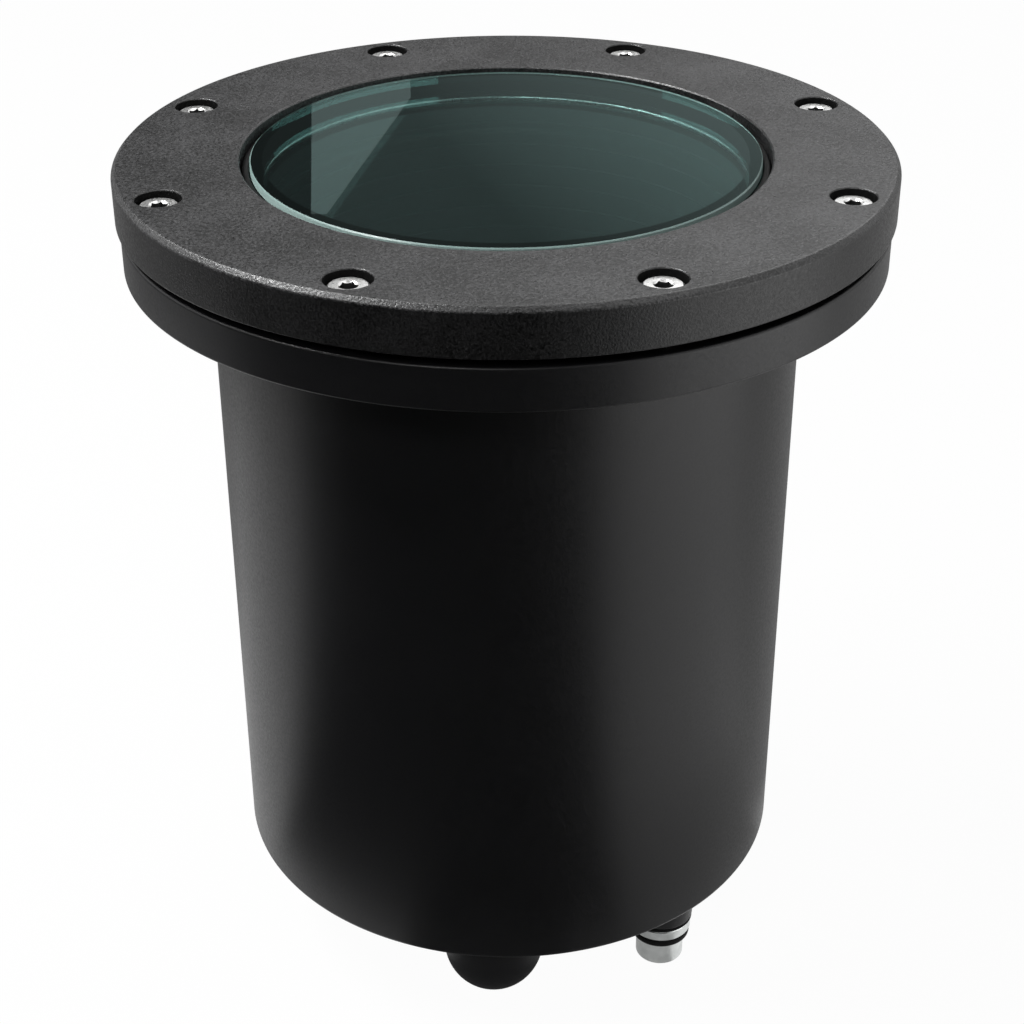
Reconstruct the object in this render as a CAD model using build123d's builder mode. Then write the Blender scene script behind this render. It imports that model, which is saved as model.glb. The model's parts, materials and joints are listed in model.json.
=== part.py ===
from build123d import *
from math import cos, radians, sin
import os

# In-ground well light. Millimetres, +Z up. The origin is on the ground under
# the middle of the light, in the plane on which its three feet stand.

# ---- driving dimensions ----------------------------------------------------

# Cover ring
ring_radius = 100.0
ring_width = 32.0
ring_thickness = 12.5
ring_chamfer = 1.2
opening_chamfer = 0.4
shadow_gap = 2.2

# Lens glass, stepped: a raised disc in the ring's opening and a wider rim under the ring
lens_recess = 0.6
lens_gap = 2.6
lens_thickness = 17.0
lens_rim_thickness = 7.0
lens_rim_overlap = 4.5
lens_edge_chamfer = 0.8

# Lens gasket, a U section round the rim of the glass, with a lip up the step
gasket_wall = 1.4
gasket_leg = 1.4
gasket_lip_wall = 1.9
gasket_lip_recess = 2.0
gasket_play = 0.2

# Cover screws, M6 with a low head, in counterbored pockets
cover_screw_count = 8
cover_screw_inset = 9.2
cover_screw_angle = 22.5
cover_screw_radius = 3.0
cover_head_radius = 5.0
cover_head_height = 4.0
cover_head_recess = 2.5
cover_head_chamfer = 0.6
cover_pocket_radius = 5.75
cover_pocket_chamfer = 0.3
cover_socket_flats = 4.0
cover_socket_depth = 2.4
cover_screw_engagement = 8.4
cover_screw_play = 0.3
retainer_width = 1.3
retainer_thickness = 1.2

# Canister
canister_height = 188.8
flange_setback = 1.0
flange_thickness = 11.1
flange_edge_fillet = 0.8
flange_root_fillet = 3.0
mouth_ledge = 3.1
body_wall = 6.0
base_thickness = 6.0
base_fillet = 1.5
hole_end = 0.8

# Flat gasket in the shadow gap, between the mouth and the screw retainers
flange_gasket_margin = 1.0
retainer_margin = 3.0

# Glare baffle under the glass
baffle_inset = 3.2
baffle_taper = 4.2
baffle_length = 48.0
baffle_flange_thickness = 1.5
baffle_wall = 1.2
baffle_step_depth = 0.9
baffle_step_count = 8

# Clearances
seat_clearance = 0.2
pin_clearance = 0.06
slip_gap = 0.15
thread_clearance = 0.05

# Gear tray on its pillars
tray_height = 43.0
tray_thickness = 2.0
tray_play = 1.4
tray_rim_height = 4.0
tray_rim_wall = 1.5
tray_slot_length = 26.0
tray_slot_width = 12.0
tray_slot_angles = (30.0, 150.0)
tray_notch_radius = 12.0
pillar_count = 3
pillar_angle = 90.0
pillar_radius = 7.0
pillar_bite = 0.6
tray_screw_radius = 2.0
tray_screw_head_radius = 3.5
tray_screw_head_height = 2.6
tray_screw_length = 10.0
tray_socket_flats = 3.0
socket_depth = 1.4

# Driver on the floor of the canister
driver_length = 86.0
driver_width = 42.0
driver_height = 21.0
driver_corner = 4.0
driver_lid_thickness = 2.5
driver_lid_inset = 1.0
driver_tab_length = 8.0
driver_tab_width = 16.0
driver_tab_thickness = 3.0
small_screw_radius = 1.5
small_head_radius = 2.8
small_head_height = 1.8
small_screw_depth = 4.0

# Terminal block and earth screw
terminal_pole_pitch = 10.0
terminal_pole_count = 3
terminal_row_count = 2
terminal_depth = 14.0
terminal_height = 15.0
terminal_margin = 5.0
terminal_angle = -90.0
terminal_well_radius = 2.2
terminal_well_depth = 7.0
terminal_clamp_radius = 1.9
terminal_chamfer = 1.0
terminal_clamp_height = 3.0
earth_inset = 20.4
earth_angle = 64.0
earth_screw_radius = 2.0
earth_boss_radius = 5.0
earth_boss_height = 4.0

# Turntable: pivot bolt, washer, yoke
pivot_bolt_radius = 4.0
pivot_head_radius = 6.5
pivot_head_height = 3.6
pivot_socket_flats = 5.0
pivot_nut_flats = 13.0
pivot_nut_height = 6.5
turntable_washer_radius = 14.0
turntable_washer_thickness = 1.0
yoke_thickness = 2.5
yoke_width = 18.0
yoke_disc_radius = 30.0
yoke_bend_radius = 3.0
yoke_arm_gap = 0.8
yoke_arm_flat = 0.4

# Lamp head, measured along its beam from the tilt axis
tilt_axis_rise = 48.0
lamp_radius = 38.0
lamp_wall = 3.0
lamp_rim_rise = 18.0
lamp_seat_drop = 8.0
lamp_seat_thickness = 6.0
lamp_fin_length = 16.0
lamp_fin_count = 24
lamp_fin_thickness = 1.6
lamp_fin_bite = 1.0
lamp_core_radius = 12.0
lug_radius = 8.0
lug_height = 4.0
bezel_rise = 28.0
bezel_skirt = 17.0
bezel_wall = 2.6
bezel_play = 0.2
bezel_lip = 1.6
bezel_cover = 5.0
bezel_chamfer = 1.0
lamp_lens_thickness = 3.0
lamp_seal_thickness = 1.0
lamp_seal_width = 2.6
board_radius = 17.0
board_thickness = 1.6
emitter_radius = 7.5
emitter_thickness = 0.7
holder_margin = 1.0
holder_thickness = 3.0
holder_window_gap = 1.0
holder_chamfer = 1.0
reflector_throat_gap = 1.7
reflector_inset = 2.5
reflector_wall = 0.8
reflector_fullness = 0.8
tilt_screw_radius = 2.5
tilt_screw_grip = 5.0
tilt_head_radius = 7.0
tilt_head_height = 6.0
tilt_head_flutes = 18
tilt_flute_radius = 0.7
tilt_washer_radius = 6.5
grub_radius = 1.5
grub_angles = (90.0, 210.0, 330.0)

# Cable gland under the base
gland_inset = 12.4
gland_angle = -48.1
gland_boss_radius = 9.0
gland_boss_height = 7.4
gland_thread_radius = 6.0
gland_thread_rise = 2.0
gland_bore_radius = 4.4
gland_washer_radius = 8.9
gland_washer_thickness = 1.2
gland_flange_radius = 8.6
gland_flange_height = 3.4
gland_seal_radius = 8.3
gland_seal_thickness = 2.6
gland_seal_sleeve_radius = 4.9
gland_seal_sleeve_length = 5.0
gland_nut_radius = 6.7
gland_nut_height = 7.6
gland_nut_end = 1.4
gland_edge = 0.5
cable_radius = 3.5

# Feet
foot_count = 3
foot_inset = 21.5
foot_angle = -94.5
foot_radius = 14.0
foot_height = 26.0
stud_radius = 2.5
stud_engagement = 4.4
stud_depth_in_foot = 8.0
stud_plate_radius = 6.0
stud_plate_thickness = 2.0

# ---- levels and radii that follow -------------------------------------------

base_z = foot_height
floor_z = base_z + base_thickness
flange_top_z = base_z + canister_height
flange_bottom_z = flange_top_z - flange_thickness
ring_bottom_z = flange_top_z + shadow_gap
ring_top_z = ring_bottom_z + ring_thickness

lens_top_z = ring_top_z - lens_recess
lens_bottom_z = lens_top_z - lens_thickness
lens_rim_top_z = lens_bottom_z + lens_rim_thickness
opening_radius = ring_radius - ring_width
lens_step_radius = opening_radius - lens_gap
lens_rim_radius = opening_radius + lens_rim_overlap

gasket_radius = lens_rim_radius + gasket_play + gasket_wall
gasket_top_z = lens_rim_top_z + gasket_leg
gasket_bottom_z = lens_bottom_z - gasket_leg
gasket_lip_radius = lens_step_radius + gasket_play
recess_radius = gasket_radius + gasket_play

pocket_floor_z = ring_top_z - cover_head_recess - cover_head_height
cover_head_top_z = ring_top_z - cover_head_recess
cover_screw_end_z = flange_top_z - cover_screw_engagement
cover_screw_circle = ring_radius - cover_screw_inset
retainer_radius = cover_screw_radius + retainer_width

baffle_top_z = gasket_bottom_z - seat_clearance
ledge_z = baffle_top_z - baffle_flange_thickness
baffle_bottom_z = ledge_z - baffle_length
baffle_top_radius = lens_step_radius - baffle_inset
baffle_bottom_radius = baffle_top_radius - baffle_taper

mouth_radius = gasket_radius + seat_clearance + gasket_play
bore_radius = mouth_radius - mouth_ledge
body_radius = bore_radius + body_wall
flange_radius = ring_radius - flange_setback
flange_gasket_radius = cover_screw_circle - retainer_radius - retainer_margin

tray_z = floor_z + tray_height
tray_top_z = tray_z + tray_thickness
tray_radius = bore_radius - tray_play
pillar_circle = bore_radius + pillar_bite - pillar_radius
terminal_reach = tray_radius - tray_rim_wall - terminal_margin - terminal_depth / 2
earth_circle = bore_radius - earth_inset
gland_circle = body_radius - gland_inset
foot_circle = body_radius - foot_inset

yoke_z = tray_top_z + turntable_washer_thickness + slip_gap
yoke_top_z = yoke_z + yoke_thickness
tilt_z = yoke_top_z + tilt_axis_rise
lug_face = lamp_radius + lug_height
yoke_inner = lug_face + yoke_arm_gap + 2 * slip_gap
yoke_outer = yoke_inner + yoke_thickness

gland_boss_z = base_z - gland_boss_height
gland_washer_z = gland_boss_z - gland_washer_thickness
gland_flange_z = gland_washer_z - gland_flange_height
gland_seal_z = gland_flange_z - gland_seal_thickness
gland_nut_z = gland_seal_z - gland_nut_height

cover_screw_places = PolarLocations(cover_screw_circle, cover_screw_count, cover_screw_angle)
pillar_places = PolarLocations(pillar_circle, pillar_count, pillar_angle)
foot_places = PolarLocations(foot_circle, foot_count, foot_angle)
terminal_plane = Plane(
    origin=(
        terminal_reach * cos(radians(terminal_angle)),
        terminal_reach * sin(radians(terminal_angle)),
        0,
    ),
    x_dir=(sin(radians(terminal_angle)), -cos(radians(terminal_angle)), 0),
    z_dir=(0, 0, 1),
)
terminal_fixing_count = terminal_pole_count - 1
tilt_sides = [Plane(origin=(0, 0, tilt_z), z_dir=(side, 0, 0)) for side in (1, -1)]


# ---- helpers ------------------------------------------------------------------

def half_section(*corners):
    """Face on the XZ plane through the corners (radius, height), to be turned about Z."""
    with BuildSketch(Plane.XZ) as section:
        with BuildLine():
            Polyline(*corners, close=True)
        make_face()
    return section.sketch


def save(builder, name):
    """Label a finished piece and write it to its own file."""
    builder.part.label = name
    export_step(builder.part, f"parts/{name}.step")


os.makedirs("parts", exist_ok=True)

# ---- cover: ring, glass, gasket, screws ---------------------------------------

with BuildPart() as cover_ring:
    with BuildSketch(Plane.XY.offset(ring_bottom_z)):
        Circle(ring_radius)
        Circle(opening_radius, mode=Mode.SUBTRACT)
    extrude(amount=ring_thickness)
    with BuildSketch(Plane.XY.offset(ring_bottom_z)):
        Circle(recess_radius)
    extrude(amount=gasket_top_z - ring_bottom_z, mode=Mode.SUBTRACT)
    top_rims = cover_ring.faces().sort_by(Axis.Z)[-1].edges().sort_by(SortBy.LENGTH)
    chamfer(top_rims[-1], ring_chamfer)
    chamfer(top_rims[0], opening_chamfer)
    with BuildSketch(Plane.XY.offset(pocket_floor_z)):
        with cover_screw_places:
            Circle(cover_pocket_radius)
    extrude(amount=ring_thickness, mode=Mode.SUBTRACT)
    with BuildSketch(Plane.XY.offset(ring_bottom_z)):
        with cover_screw_places:
            Circle(cover_screw_radius + cover_screw_play)
    extrude(amount=ring_thickness, mode=Mode.SUBTRACT)
    pocket_rims = cover_ring.faces().sort_by(Axis.Z)[-1].edges().filter_by(
        lambda edge: abs(edge.radius - cover_pocket_radius) < cover_pocket_chamfer
    )
    chamfer(pocket_rims, cover_pocket_chamfer)
save(cover_ring, "cover_ring")

with BuildPart() as lens_glass:
    revolve(
        half_section(
            (0, lens_bottom_z),
            (lens_rim_radius - lens_edge_chamfer, lens_bottom_z),
            (lens_rim_radius, lens_bottom_z + lens_edge_chamfer),
            (lens_rim_radius, lens_rim_top_z - lens_edge_chamfer),
            (lens_rim_radius - lens_edge_chamfer, lens_rim_top_z),
            (lens_step_radius, lens_rim_top_z),
            (lens_step_radius, lens_top_z - lens_edge_chamfer),
            (lens_step_radius - lens_edge_chamfer, lens_top_z),
            (0, lens_top_z),
        ),
        axis=Axis.Z,
    )
save(lens_glass, "lens_glass")

with BuildPart() as lens_gasket:
    revolve(
        half_section(
            (baffle_top_radius, gasket_bottom_z),
            (gasket_radius, gasket_bottom_z),
            (gasket_radius, gasket_top_z),
            (gasket_lip_radius + gasket_lip_wall, gasket_top_z),
            (gasket_lip_radius + gasket_lip_wall, lens_top_z - gasket_lip_recess),
            (gasket_lip_radius, lens_top_z - gasket_lip_recess),
            (gasket_lip_radius, lens_rim_top_z),
            (lens_rim_radius + gasket_play, lens_rim_top_z),
            (lens_rim_radius + gasket_play, lens_bottom_z),
            (baffle_top_radius, lens_bottom_z),
        ),
        axis=Axis.Z,
    )
save(lens_gasket, "lens_gasket")

with BuildPart() as cover_screws:
    with BuildSketch(Plane.XY.offset(cover_screw_end_z)):
        with cover_screw_places:
            Circle(cover_screw_radius)
    extrude(amount=pocket_floor_z - cover_screw_end_z)
    with BuildSketch(Plane.XY.offset(pocket_floor_z)):
        with cover_screw_places:
            Circle(cover_head_radius)
    extrude(amount=cover_head_height)
    head_rims = cover_screws.edges().filter_by(GeomType.CIRCLE).group_by(Axis.Z)[-1]
    chamfer(head_rims, cover_head_chamfer)
    with BuildSketch(Plane.XY.offset(cover_head_top_z - cover_socket_depth)):
        with cover_screw_places:
            RegularPolygon(cover_socket_flats / 2, 6, major_radius=False)
    extrude(amount=cover_socket_depth, mode=Mode.SUBTRACT)
save(cover_screws, "cover_screws")

with BuildPart() as screw_retainers:
    with BuildSketch(Plane.XY.offset(ring_bottom_z - retainer_thickness)):
        with cover_screw_places:
            Circle(retainer_radius)
            Circle(cover_screw_radius, mode=Mode.SUBTRACT)
    extrude(amount=retainer_thickness)
save(screw_retainers, "screw_retainers")

# ---- canister -------------------------------------------------------------------

gland_x = gland_circle * cos(radians(gland_angle))
gland_y = gland_circle * sin(radians(gland_angle))
earth_x = earth_circle * cos(radians(earth_angle))
earth_y = earth_circle * sin(radians(earth_angle))
driver_screw_x = driver_length / 2 + driver_tab_length / 2

with BuildPart() as canister:
    with BuildSketch(Plane.XZ) as wall_section:
        with BuildLine():
            Polyline(
                (0, base_z),
                (body_radius, base_z),
                (body_radius, flange_bottom_z),
                (flange_radius, flange_bottom_z),
                (flange_radius, flange_top_z),
                (mouth_radius, flange_top_z),
                (mouth_radius, ledge_z),
                (bore_radius, ledge_z),
                (bore_radius, floor_z),
                (0, floor_z),
                close=True,
            )
        make_face()
        fillet(wall_section.vertices().group_by(Axis.X)[-1], flange_edge_fillet)
        root = wall_section.vertices().sort_by_distance((body_radius, flange_bottom_z))[0]
        fillet(root, flange_root_fillet)
        base_corner = wall_section.vertices().group_by(Axis.Y)[0].sort_by(Axis.X)[-1]
        fillet(base_corner, base_fillet)
    revolve(axis=Axis.Z)
    # pillars for the gear tray, joined to the wall, and the earth boss
    with BuildSketch(Plane.XY.offset(floor_z)):
        with pillar_places:
            Circle(pillar_radius)
    extrude(amount=tray_height)
    with BuildSketch(Plane.XY.offset(floor_z)):
        with Locations((earth_x, earth_y)):
            Circle(earth_boss_radius)
    extrude(amount=earth_boss_height)
    # boss of the cable gland, under the base
    with BuildSketch(Plane.XY.offset(gland_boss_z)):
        with Locations((gland_x, gland_y)):
            Circle(gland_boss_radius)
    extrude(amount=gland_boss_height)
    # tapped holes
    with BuildSketch(Plane.XY.offset(flange_top_z)):
        with cover_screw_places:
            Circle(cover_screw_radius + cover_screw_play)
    extrude(amount=-(cover_screw_engagement + hole_end), mode=Mode.SUBTRACT)
    with BuildSketch(Plane.XY.offset(tray_z)):
        with pillar_places:
            Circle(tray_screw_radius + thread_clearance)
    extrude(amount=-(tray_screw_length + hole_end), mode=Mode.SUBTRACT)
    with BuildSketch(Plane.XY.offset(floor_z)):
        with Locations((driver_screw_x, 0), (-driver_screw_x, 0)):
            Circle(small_screw_radius + thread_clearance)
    extrude(amount=-small_screw_depth, mode=Mode.SUBTRACT)
    with BuildSketch(Plane.XY.offset(floor_z + earth_boss_height)):
        with Locations((earth_x, earth_y)):
            Circle(earth_screw_radius + thread_clearance)
    extrude(amount=-(earth_boss_height + small_screw_depth), mode=Mode.SUBTRACT)
    with BuildSketch(Plane.XY.offset(gland_boss_z)):
        with Locations((gland_x, gland_y)):
            Circle(gland_thread_radius + thread_clearance)
    extrude(amount=gland_boss_height + base_thickness, mode=Mode.SUBTRACT)
    with BuildSketch(Plane.XY.offset(base_z)):
        with foot_places:
            Circle(stud_radius + thread_clearance)
    extrude(amount=stud_engagement, mode=Mode.SUBTRACT)
save(canister, "canister")

with BuildPart() as flange_gasket:
    with BuildSketch(Plane.XY.offset(flange_top_z)):
        Circle(flange_gasket_radius)
        Circle(mouth_radius + flange_gasket_margin, mode=Mode.SUBTRACT)
    extrude(amount=shadow_gap - seat_clearance)
save(flange_gasket, "flange_gasket")

# ---- glare baffle: a flanged cone with steps inside that trap stray light ------------

step_height = baffle_length / baffle_step_count
step_shrink = (baffle_top_radius - baffle_bottom_radius) / baffle_step_count
step_corners = []
for step in range(baffle_step_count):
    step_top_z = ledge_z - step * step_height
    step_radius = baffle_top_radius - step * step_shrink
    step_corners.append((step_radius, step_top_z))
    step_corners.append((step_radius + baffle_step_depth - step_shrink, step_top_z - step_height))

with BuildPart() as glare_baffle:
    revolve(
        half_section(
            (baffle_top_radius, baffle_top_z),
            *step_corners,
            (baffle_bottom_radius + baffle_step_depth + baffle_wall, baffle_bottom_z),
            (baffle_top_radius + baffle_step_depth + baffle_wall, ledge_z),
            (mouth_radius - seat_clearance, ledge_z),
            (mouth_radius - seat_clearance, baffle_top_z),
        ),
        axis=Axis.Z,
    )
save(glare_baffle, "glare_baffle")

# ---- gear tray --------------------------------------------------------------------

with BuildPart() as gear_tray:
    with BuildSketch(Plane.XY.offset(tray_z)):
        Circle(tray_radius)
    extrude(amount=tray_rim_height)
    with BuildSketch(Plane.XY.offset(tray_top_z)):
        Circle(tray_radius - tray_rim_wall)
    extrude(amount=tray_rim_height, mode=Mode.SUBTRACT)
    with BuildSketch(Plane.XY.offset(tray_z)):
        # notch over the gland, slots for the leads, holes for bolt and screws
        with Locations((gland_x, gland_y)):
            Circle(tray_notch_radius)
        for slot_angle in tray_slot_angles:
            with PolarLocations(terminal_reach, 1, slot_angle):
                SlotOverall(tray_slot_length, tray_slot_width, rotation=90)
        Circle(pivot_bolt_radius + thread_clearance)
        with pillar_places:
            Circle(tray_screw_radius + thread_clearance)
    extrude(amount=tray_rim_height, mode=Mode.SUBTRACT)
    with BuildSketch(terminal_plane.offset(tray_z)):
        with GridLocations(terminal_pole_pitch, 0, terminal_fixing_count, 1):
            Circle(small_screw_radius + thread_clearance)
    extrude(amount=tray_thickness, mode=Mode.SUBTRACT)
save(gear_tray, "gear_tray")

with BuildPart() as tray_screws:
    with BuildSketch(Plane.XY.offset(tray_z - tray_screw_length)):
        with pillar_places:
            Circle(tray_screw_radius)
    extrude(amount=tray_screw_length + tray_thickness)
    with BuildSketch(Plane.XY.offset(tray_top_z)):
        with pillar_places:
            Circle(tray_screw_head_radius)
    extrude(amount=tray_screw_head_height)
    with BuildSketch(Plane.XY.offset(tray_top_z + tray_screw_head_height)):
        with pillar_places:
            RegularPolygon(tray_socket_flats / 2, 6, major_radius=False)
    extrude(amount=-socket_depth, mode=Mode.SUBTRACT)
save(tray_screws, "tray_screws")

# ---- driver -------------------------------------------------------------------------

driver_top_z = floor_z + driver_height

with BuildPart() as driver_case:
    with BuildSketch(Plane.XY.offset(floor_z)):
        RectangleRounded(driver_length, driver_width, driver_corner)
    extrude(amount=driver_height)
    offset(
        amount=-driver_lid_thickness,
        openings=driver_case.faces().sort_by(Axis.Z)[-1],
    )
    with BuildSketch(Plane.XY.offset(floor_z)):
        with Locations((driver_screw_x, 0), (-driver_screw_x, 0)):
            Rectangle(driver_tab_length, driver_tab_width)
    extrude(amount=driver_tab_thickness)
    with BuildSketch(Plane.XY.offset(floor_z)):
        with Locations((driver_screw_x, 0), (-driver_screw_x, 0)):
            Circle(small_screw_radius + thread_clearance)
    extrude(amount=driver_tab_thickness, mode=Mode.SUBTRACT)
save(driver_case, "driver_case")

with BuildPart() as driver_lid:
    with BuildSketch(Plane.XY.offset(driver_top_z)):
        RectangleRounded(driver_length, driver_width, driver_corner)
    extrude(amount=driver_lid_thickness)
    chamfer(driver_lid.faces().sort_by(Axis.Z)[-1].edges(), driver_lid_inset)
    with BuildSketch(Plane.XY.offset(driver_top_z)):
        RectangleRounded(
            driver_length - 2 * driver_lid_thickness - 2 * seat_clearance,
            driver_width - 2 * driver_lid_thickness - 2 * seat_clearance,
            driver_corner - driver_lid_thickness,
        )
    extrude(amount=-driver_lid_thickness)
save(driver_lid, "driver_lid")

with BuildPart() as driver_screws:
    head_z = floor_z + driver_tab_thickness
    with BuildSketch(Plane.XY.offset(head_z - driver_tab_thickness - small_screw_depth)):
        with Locations((driver_screw_x, 0), (-driver_screw_x, 0)):
            Circle(small_screw_radius)
    extrude(amount=driver_tab_thickness + small_screw_depth)
    with BuildSketch(Plane.XY.offset(head_z)):
        with Locations((driver_screw_x, 0), (-driver_screw_x, 0)):
            Circle(small_head_radius)
    extrude(amount=small_head_height)
save(driver_screws, "driver_screws")

# ---- terminal block and earth screw ----------------------------------------------------

terminal_length = terminal_pole_pitch * terminal_pole_count
terminal_top_z = tray_top_z + terminal_height
terminal_floor_z = terminal_top_z - terminal_well_depth
terminal_row_pitch = terminal_depth / terminal_row_count

with BuildPart() as terminal_block:
    with BuildSketch(terminal_plane.offset(tray_top_z)):
        Rectangle(terminal_length, terminal_depth)
    extrude(amount=terminal_height)
    chamfer(terminal_block.faces().sort_by(Axis.Z)[-1].edges(), terminal_chamfer)
    with BuildSketch(terminal_plane.offset(terminal_top_z)):
        with GridLocations(
            terminal_pole_pitch, terminal_row_pitch, terminal_pole_count, terminal_row_count
        ):
            Circle(terminal_well_radius)
        with GridLocations(terminal_pole_pitch, 0, terminal_fixing_count, 1):
            Circle(small_head_radius)
    extrude(amount=-terminal_well_depth, mode=Mode.SUBTRACT)
    with BuildSketch(terminal_plane.offset(tray_top_z)):
        with GridLocations(terminal_pole_pitch, 0, terminal_fixing_count, 1):
            Circle(small_screw_radius + thread_clearance)
    extrude(amount=terminal_height, mode=Mode.SUBTRACT)
save(terminal_block, "terminal_block")

with BuildPart() as terminal_clamp_screws:
    with BuildSketch(terminal_plane.offset(terminal_floor_z)):
        with GridLocations(
            terminal_pole_pitch, terminal_row_pitch, terminal_pole_count, terminal_row_count
        ):
            Circle(terminal_clamp_radius)
    extrude(amount=terminal_clamp_height)
save(terminal_clamp_screws, "terminal_clamp_screws")

with BuildPart() as terminal_fixing_screws:
    with BuildSketch(terminal_plane.offset(tray_z)):
        with GridLocations(terminal_pole_pitch, 0, terminal_fixing_count, 1):
            Circle(small_screw_radius)
    extrude(amount=terminal_floor_z - tray_z)
    with BuildSketch(terminal_plane.offset(terminal_floor_z)):
        with GridLocations(terminal_pole_pitch, 0, terminal_fixing_count, 1):
            Circle(small_head_radius - seat_clearance)
    extrude(amount=small_head_height)
save(terminal_fixing_screws, "terminal_fixing_screws")

with BuildPart() as earth_screw:
    earth_top_z = floor_z + earth_boss_height
    with BuildSketch(Plane.XY.offset(earth_top_z - earth_boss_height - small_screw_depth)):
        with Locations((earth_x, earth_y)):
            Circle(earth_screw_radius)
    extrude(amount=earth_boss_height + small_screw_depth)
    with BuildSketch(Plane.XY.offset(earth_top_z)):
        with Locations((earth_x, earth_y)):
            Circle(tray_screw_head_radius)
    extrude(amount=tray_screw_head_height)
save(earth_screw, "earth_screw")

# ---- turntable ---------------------------------------------------------------------------

with BuildPart() as turntable_washer:
    with BuildSketch(Plane.XY.offset(tray_top_z)):
        Circle(turntable_washer_radius)
        Circle(pivot_bolt_radius + pin_clearance, mode=Mode.SUBTRACT)
    extrude(amount=turntable_washer_thickness)
save(turntable_washer, "turntable_washer")

pivot_nut_z = tray_z - pivot_nut_height
pivot_head_z = yoke_top_z + slip_gap

with BuildPart() as pivot_bolt:
    with BuildSketch(Plane.XY.offset(pivot_nut_z)):
        Circle(pivot_bolt_radius)
    extrude(amount=pivot_head_z - pivot_nut_z)
    with BuildSketch(Plane.XY.offset(pivot_head_z)):
        Circle(pivot_head_radius)
    extrude(amount=pivot_head_height)
    chamfer(pivot_bolt.faces().sort_by(Axis.Z)[-1].edges(), cover_head_chamfer)
    with BuildSketch(Plane.XY.offset(pivot_head_z + pivot_head_height)):
        RegularPolygon(pivot_socket_flats / 2, 6, major_radius=False)
    extrude(amount=-socket_depth, mode=Mode.SUBTRACT)
save(pivot_bolt, "pivot_bolt")

with BuildPart() as pivot_nut:
    with BuildSketch(Plane.XY.offset(pivot_nut_z)):
        RegularPolygon(pivot_nut_flats / 2, 6, major_radius=False)
        Circle(pivot_bolt_radius, mode=Mode.SUBTRACT)
    extrude(amount=pivot_nut_height)
save(pivot_nut, "pivot_nut")

yoke_arm_top_z = tilt_z + yoke_width / 2

with BuildPart() as yoke:
    with BuildSketch(Plane.XZ) as strap_section:
        with BuildLine():
            FilletPolyline(
                (-yoke_outer, yoke_arm_top_z),
                (-yoke_outer, yoke_z),
                (yoke_outer, yoke_z),
                (yoke_outer, yoke_arm_top_z),
                radius=yoke_bend_radius + yoke_thickness,
            )
            Line((yoke_outer, yoke_arm_top_z), (yoke_inner, yoke_arm_top_z))
            FilletPolyline(
                (yoke_inner, yoke_arm_top_z),
                (yoke_inner, yoke_top_z),
                (-yoke_inner, yoke_top_z),
                (-yoke_inner, yoke_arm_top_z),
                radius=yoke_bend_radius,
            )
            Line((-yoke_inner, yoke_arm_top_z), (-yoke_outer, yoke_arm_top_z))
        make_face()
    extrude(amount=yoke_width / 2, both=True)
    with BuildSketch(Plane.XY.offset(yoke_z)):
        Circle(yoke_disc_radius)
    extrude(amount=yoke_thickness)
    arm_corners = yoke.edges().filter_by(Axis.X).group_by(Axis.Z)[-1]
    fillet(arm_corners, (yoke_width - yoke_arm_flat) / 2)
    with BuildSketch(Plane.XY.offset(yoke_z)):
        Circle(pivot_bolt_radius + pin_clearance)
    extrude(amount=yoke_thickness, mode=Mode.SUBTRACT)
    with BuildSketch(tilt_sides[0].offset(-yoke_outer)):
        Circle(tilt_screw_radius + pin_clearance)
    extrude(amount=2 * yoke_outer, mode=Mode.SUBTRACT)
save(yoke, "yoke")

# ---- lamp head -------------------------------------------------------------------------------

seat_z = tilt_z - lamp_seat_drop
fin_top_z = seat_z - lamp_seat_thickness
fin_bottom_z = fin_top_z - lamp_fin_length
rim_z = tilt_z + lamp_rim_rise
lamp_bore_radius = lamp_radius - lamp_wall

with BuildPart() as heat_sink:
    with BuildSketch(Plane.XY.offset(fin_bottom_z)):
        Circle(lamp_core_radius)
        with PolarLocations((lamp_radius + lamp_core_radius - lamp_fin_bite) / 2, lamp_fin_count):
            Rectangle(lamp_radius - lamp_core_radius + lamp_fin_bite, lamp_fin_thickness)
    extrude(amount=lamp_fin_length)
    with BuildSketch(Plane.XY.offset(fin_top_z)):
        Circle(lamp_radius)
    extrude(amount=rim_z - fin_top_z)
    with BuildSketch(Plane.XY.offset(seat_z)):
        Circle(lamp_bore_radius)
    extrude(amount=rim_z - seat_z, mode=Mode.SUBTRACT)
    # lugs for the tilt screws, solid up to the bore, then tapped
    for side in tilt_sides:
        with BuildSketch(side.offset(lamp_bore_radius)):
            Circle(lug_radius)
        extrude(amount=lug_face - lamp_bore_radius)
        with BuildSketch(side.offset(lug_face)):
            Circle(tilt_screw_radius + thread_clearance)
        extrude(amount=-tilt_screw_grip, mode=Mode.SUBTRACT)
save(heat_sink, "heat_sink")

with BuildPart() as led_board:
    with BuildSketch(Plane.XY.offset(seat_z)):
        Circle(board_radius)
    extrude(amount=board_thickness)
save(led_board, "led_board")

board_top_z = seat_z + board_thickness
reflector_z = board_top_z + holder_thickness
holder_radius = board_radius - holder_margin
reflector_throat_radius = emitter_radius + reflector_throat_gap

with BuildPart() as led_emitter:
    with BuildSketch(Plane.XY.offset(board_top_z)):
        Circle(emitter_radius)
    extrude(amount=emitter_thickness)
save(led_emitter, "led_emitter")

with BuildPart() as led_holder:
    revolve(
        half_section(
            (emitter_radius + holder_window_gap, board_top_z),
            (holder_radius, board_top_z),
            (holder_radius, reflector_z - holder_chamfer),
            (holder_radius - holder_chamfer, reflector_z),
            (reflector_throat_radius, reflector_z),
        ),
        axis=Axis.Z,
    )
save(led_holder, "led_holder")

lens_seat_z = rim_z + reflector_wall
reflector_rim_radius = lamp_bore_radius + lamp_wall / 2
reflector_mouth_radius = lamp_bore_radius - reflector_inset
inner_belly = reflector_mouth_radius * reflector_fullness

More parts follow.
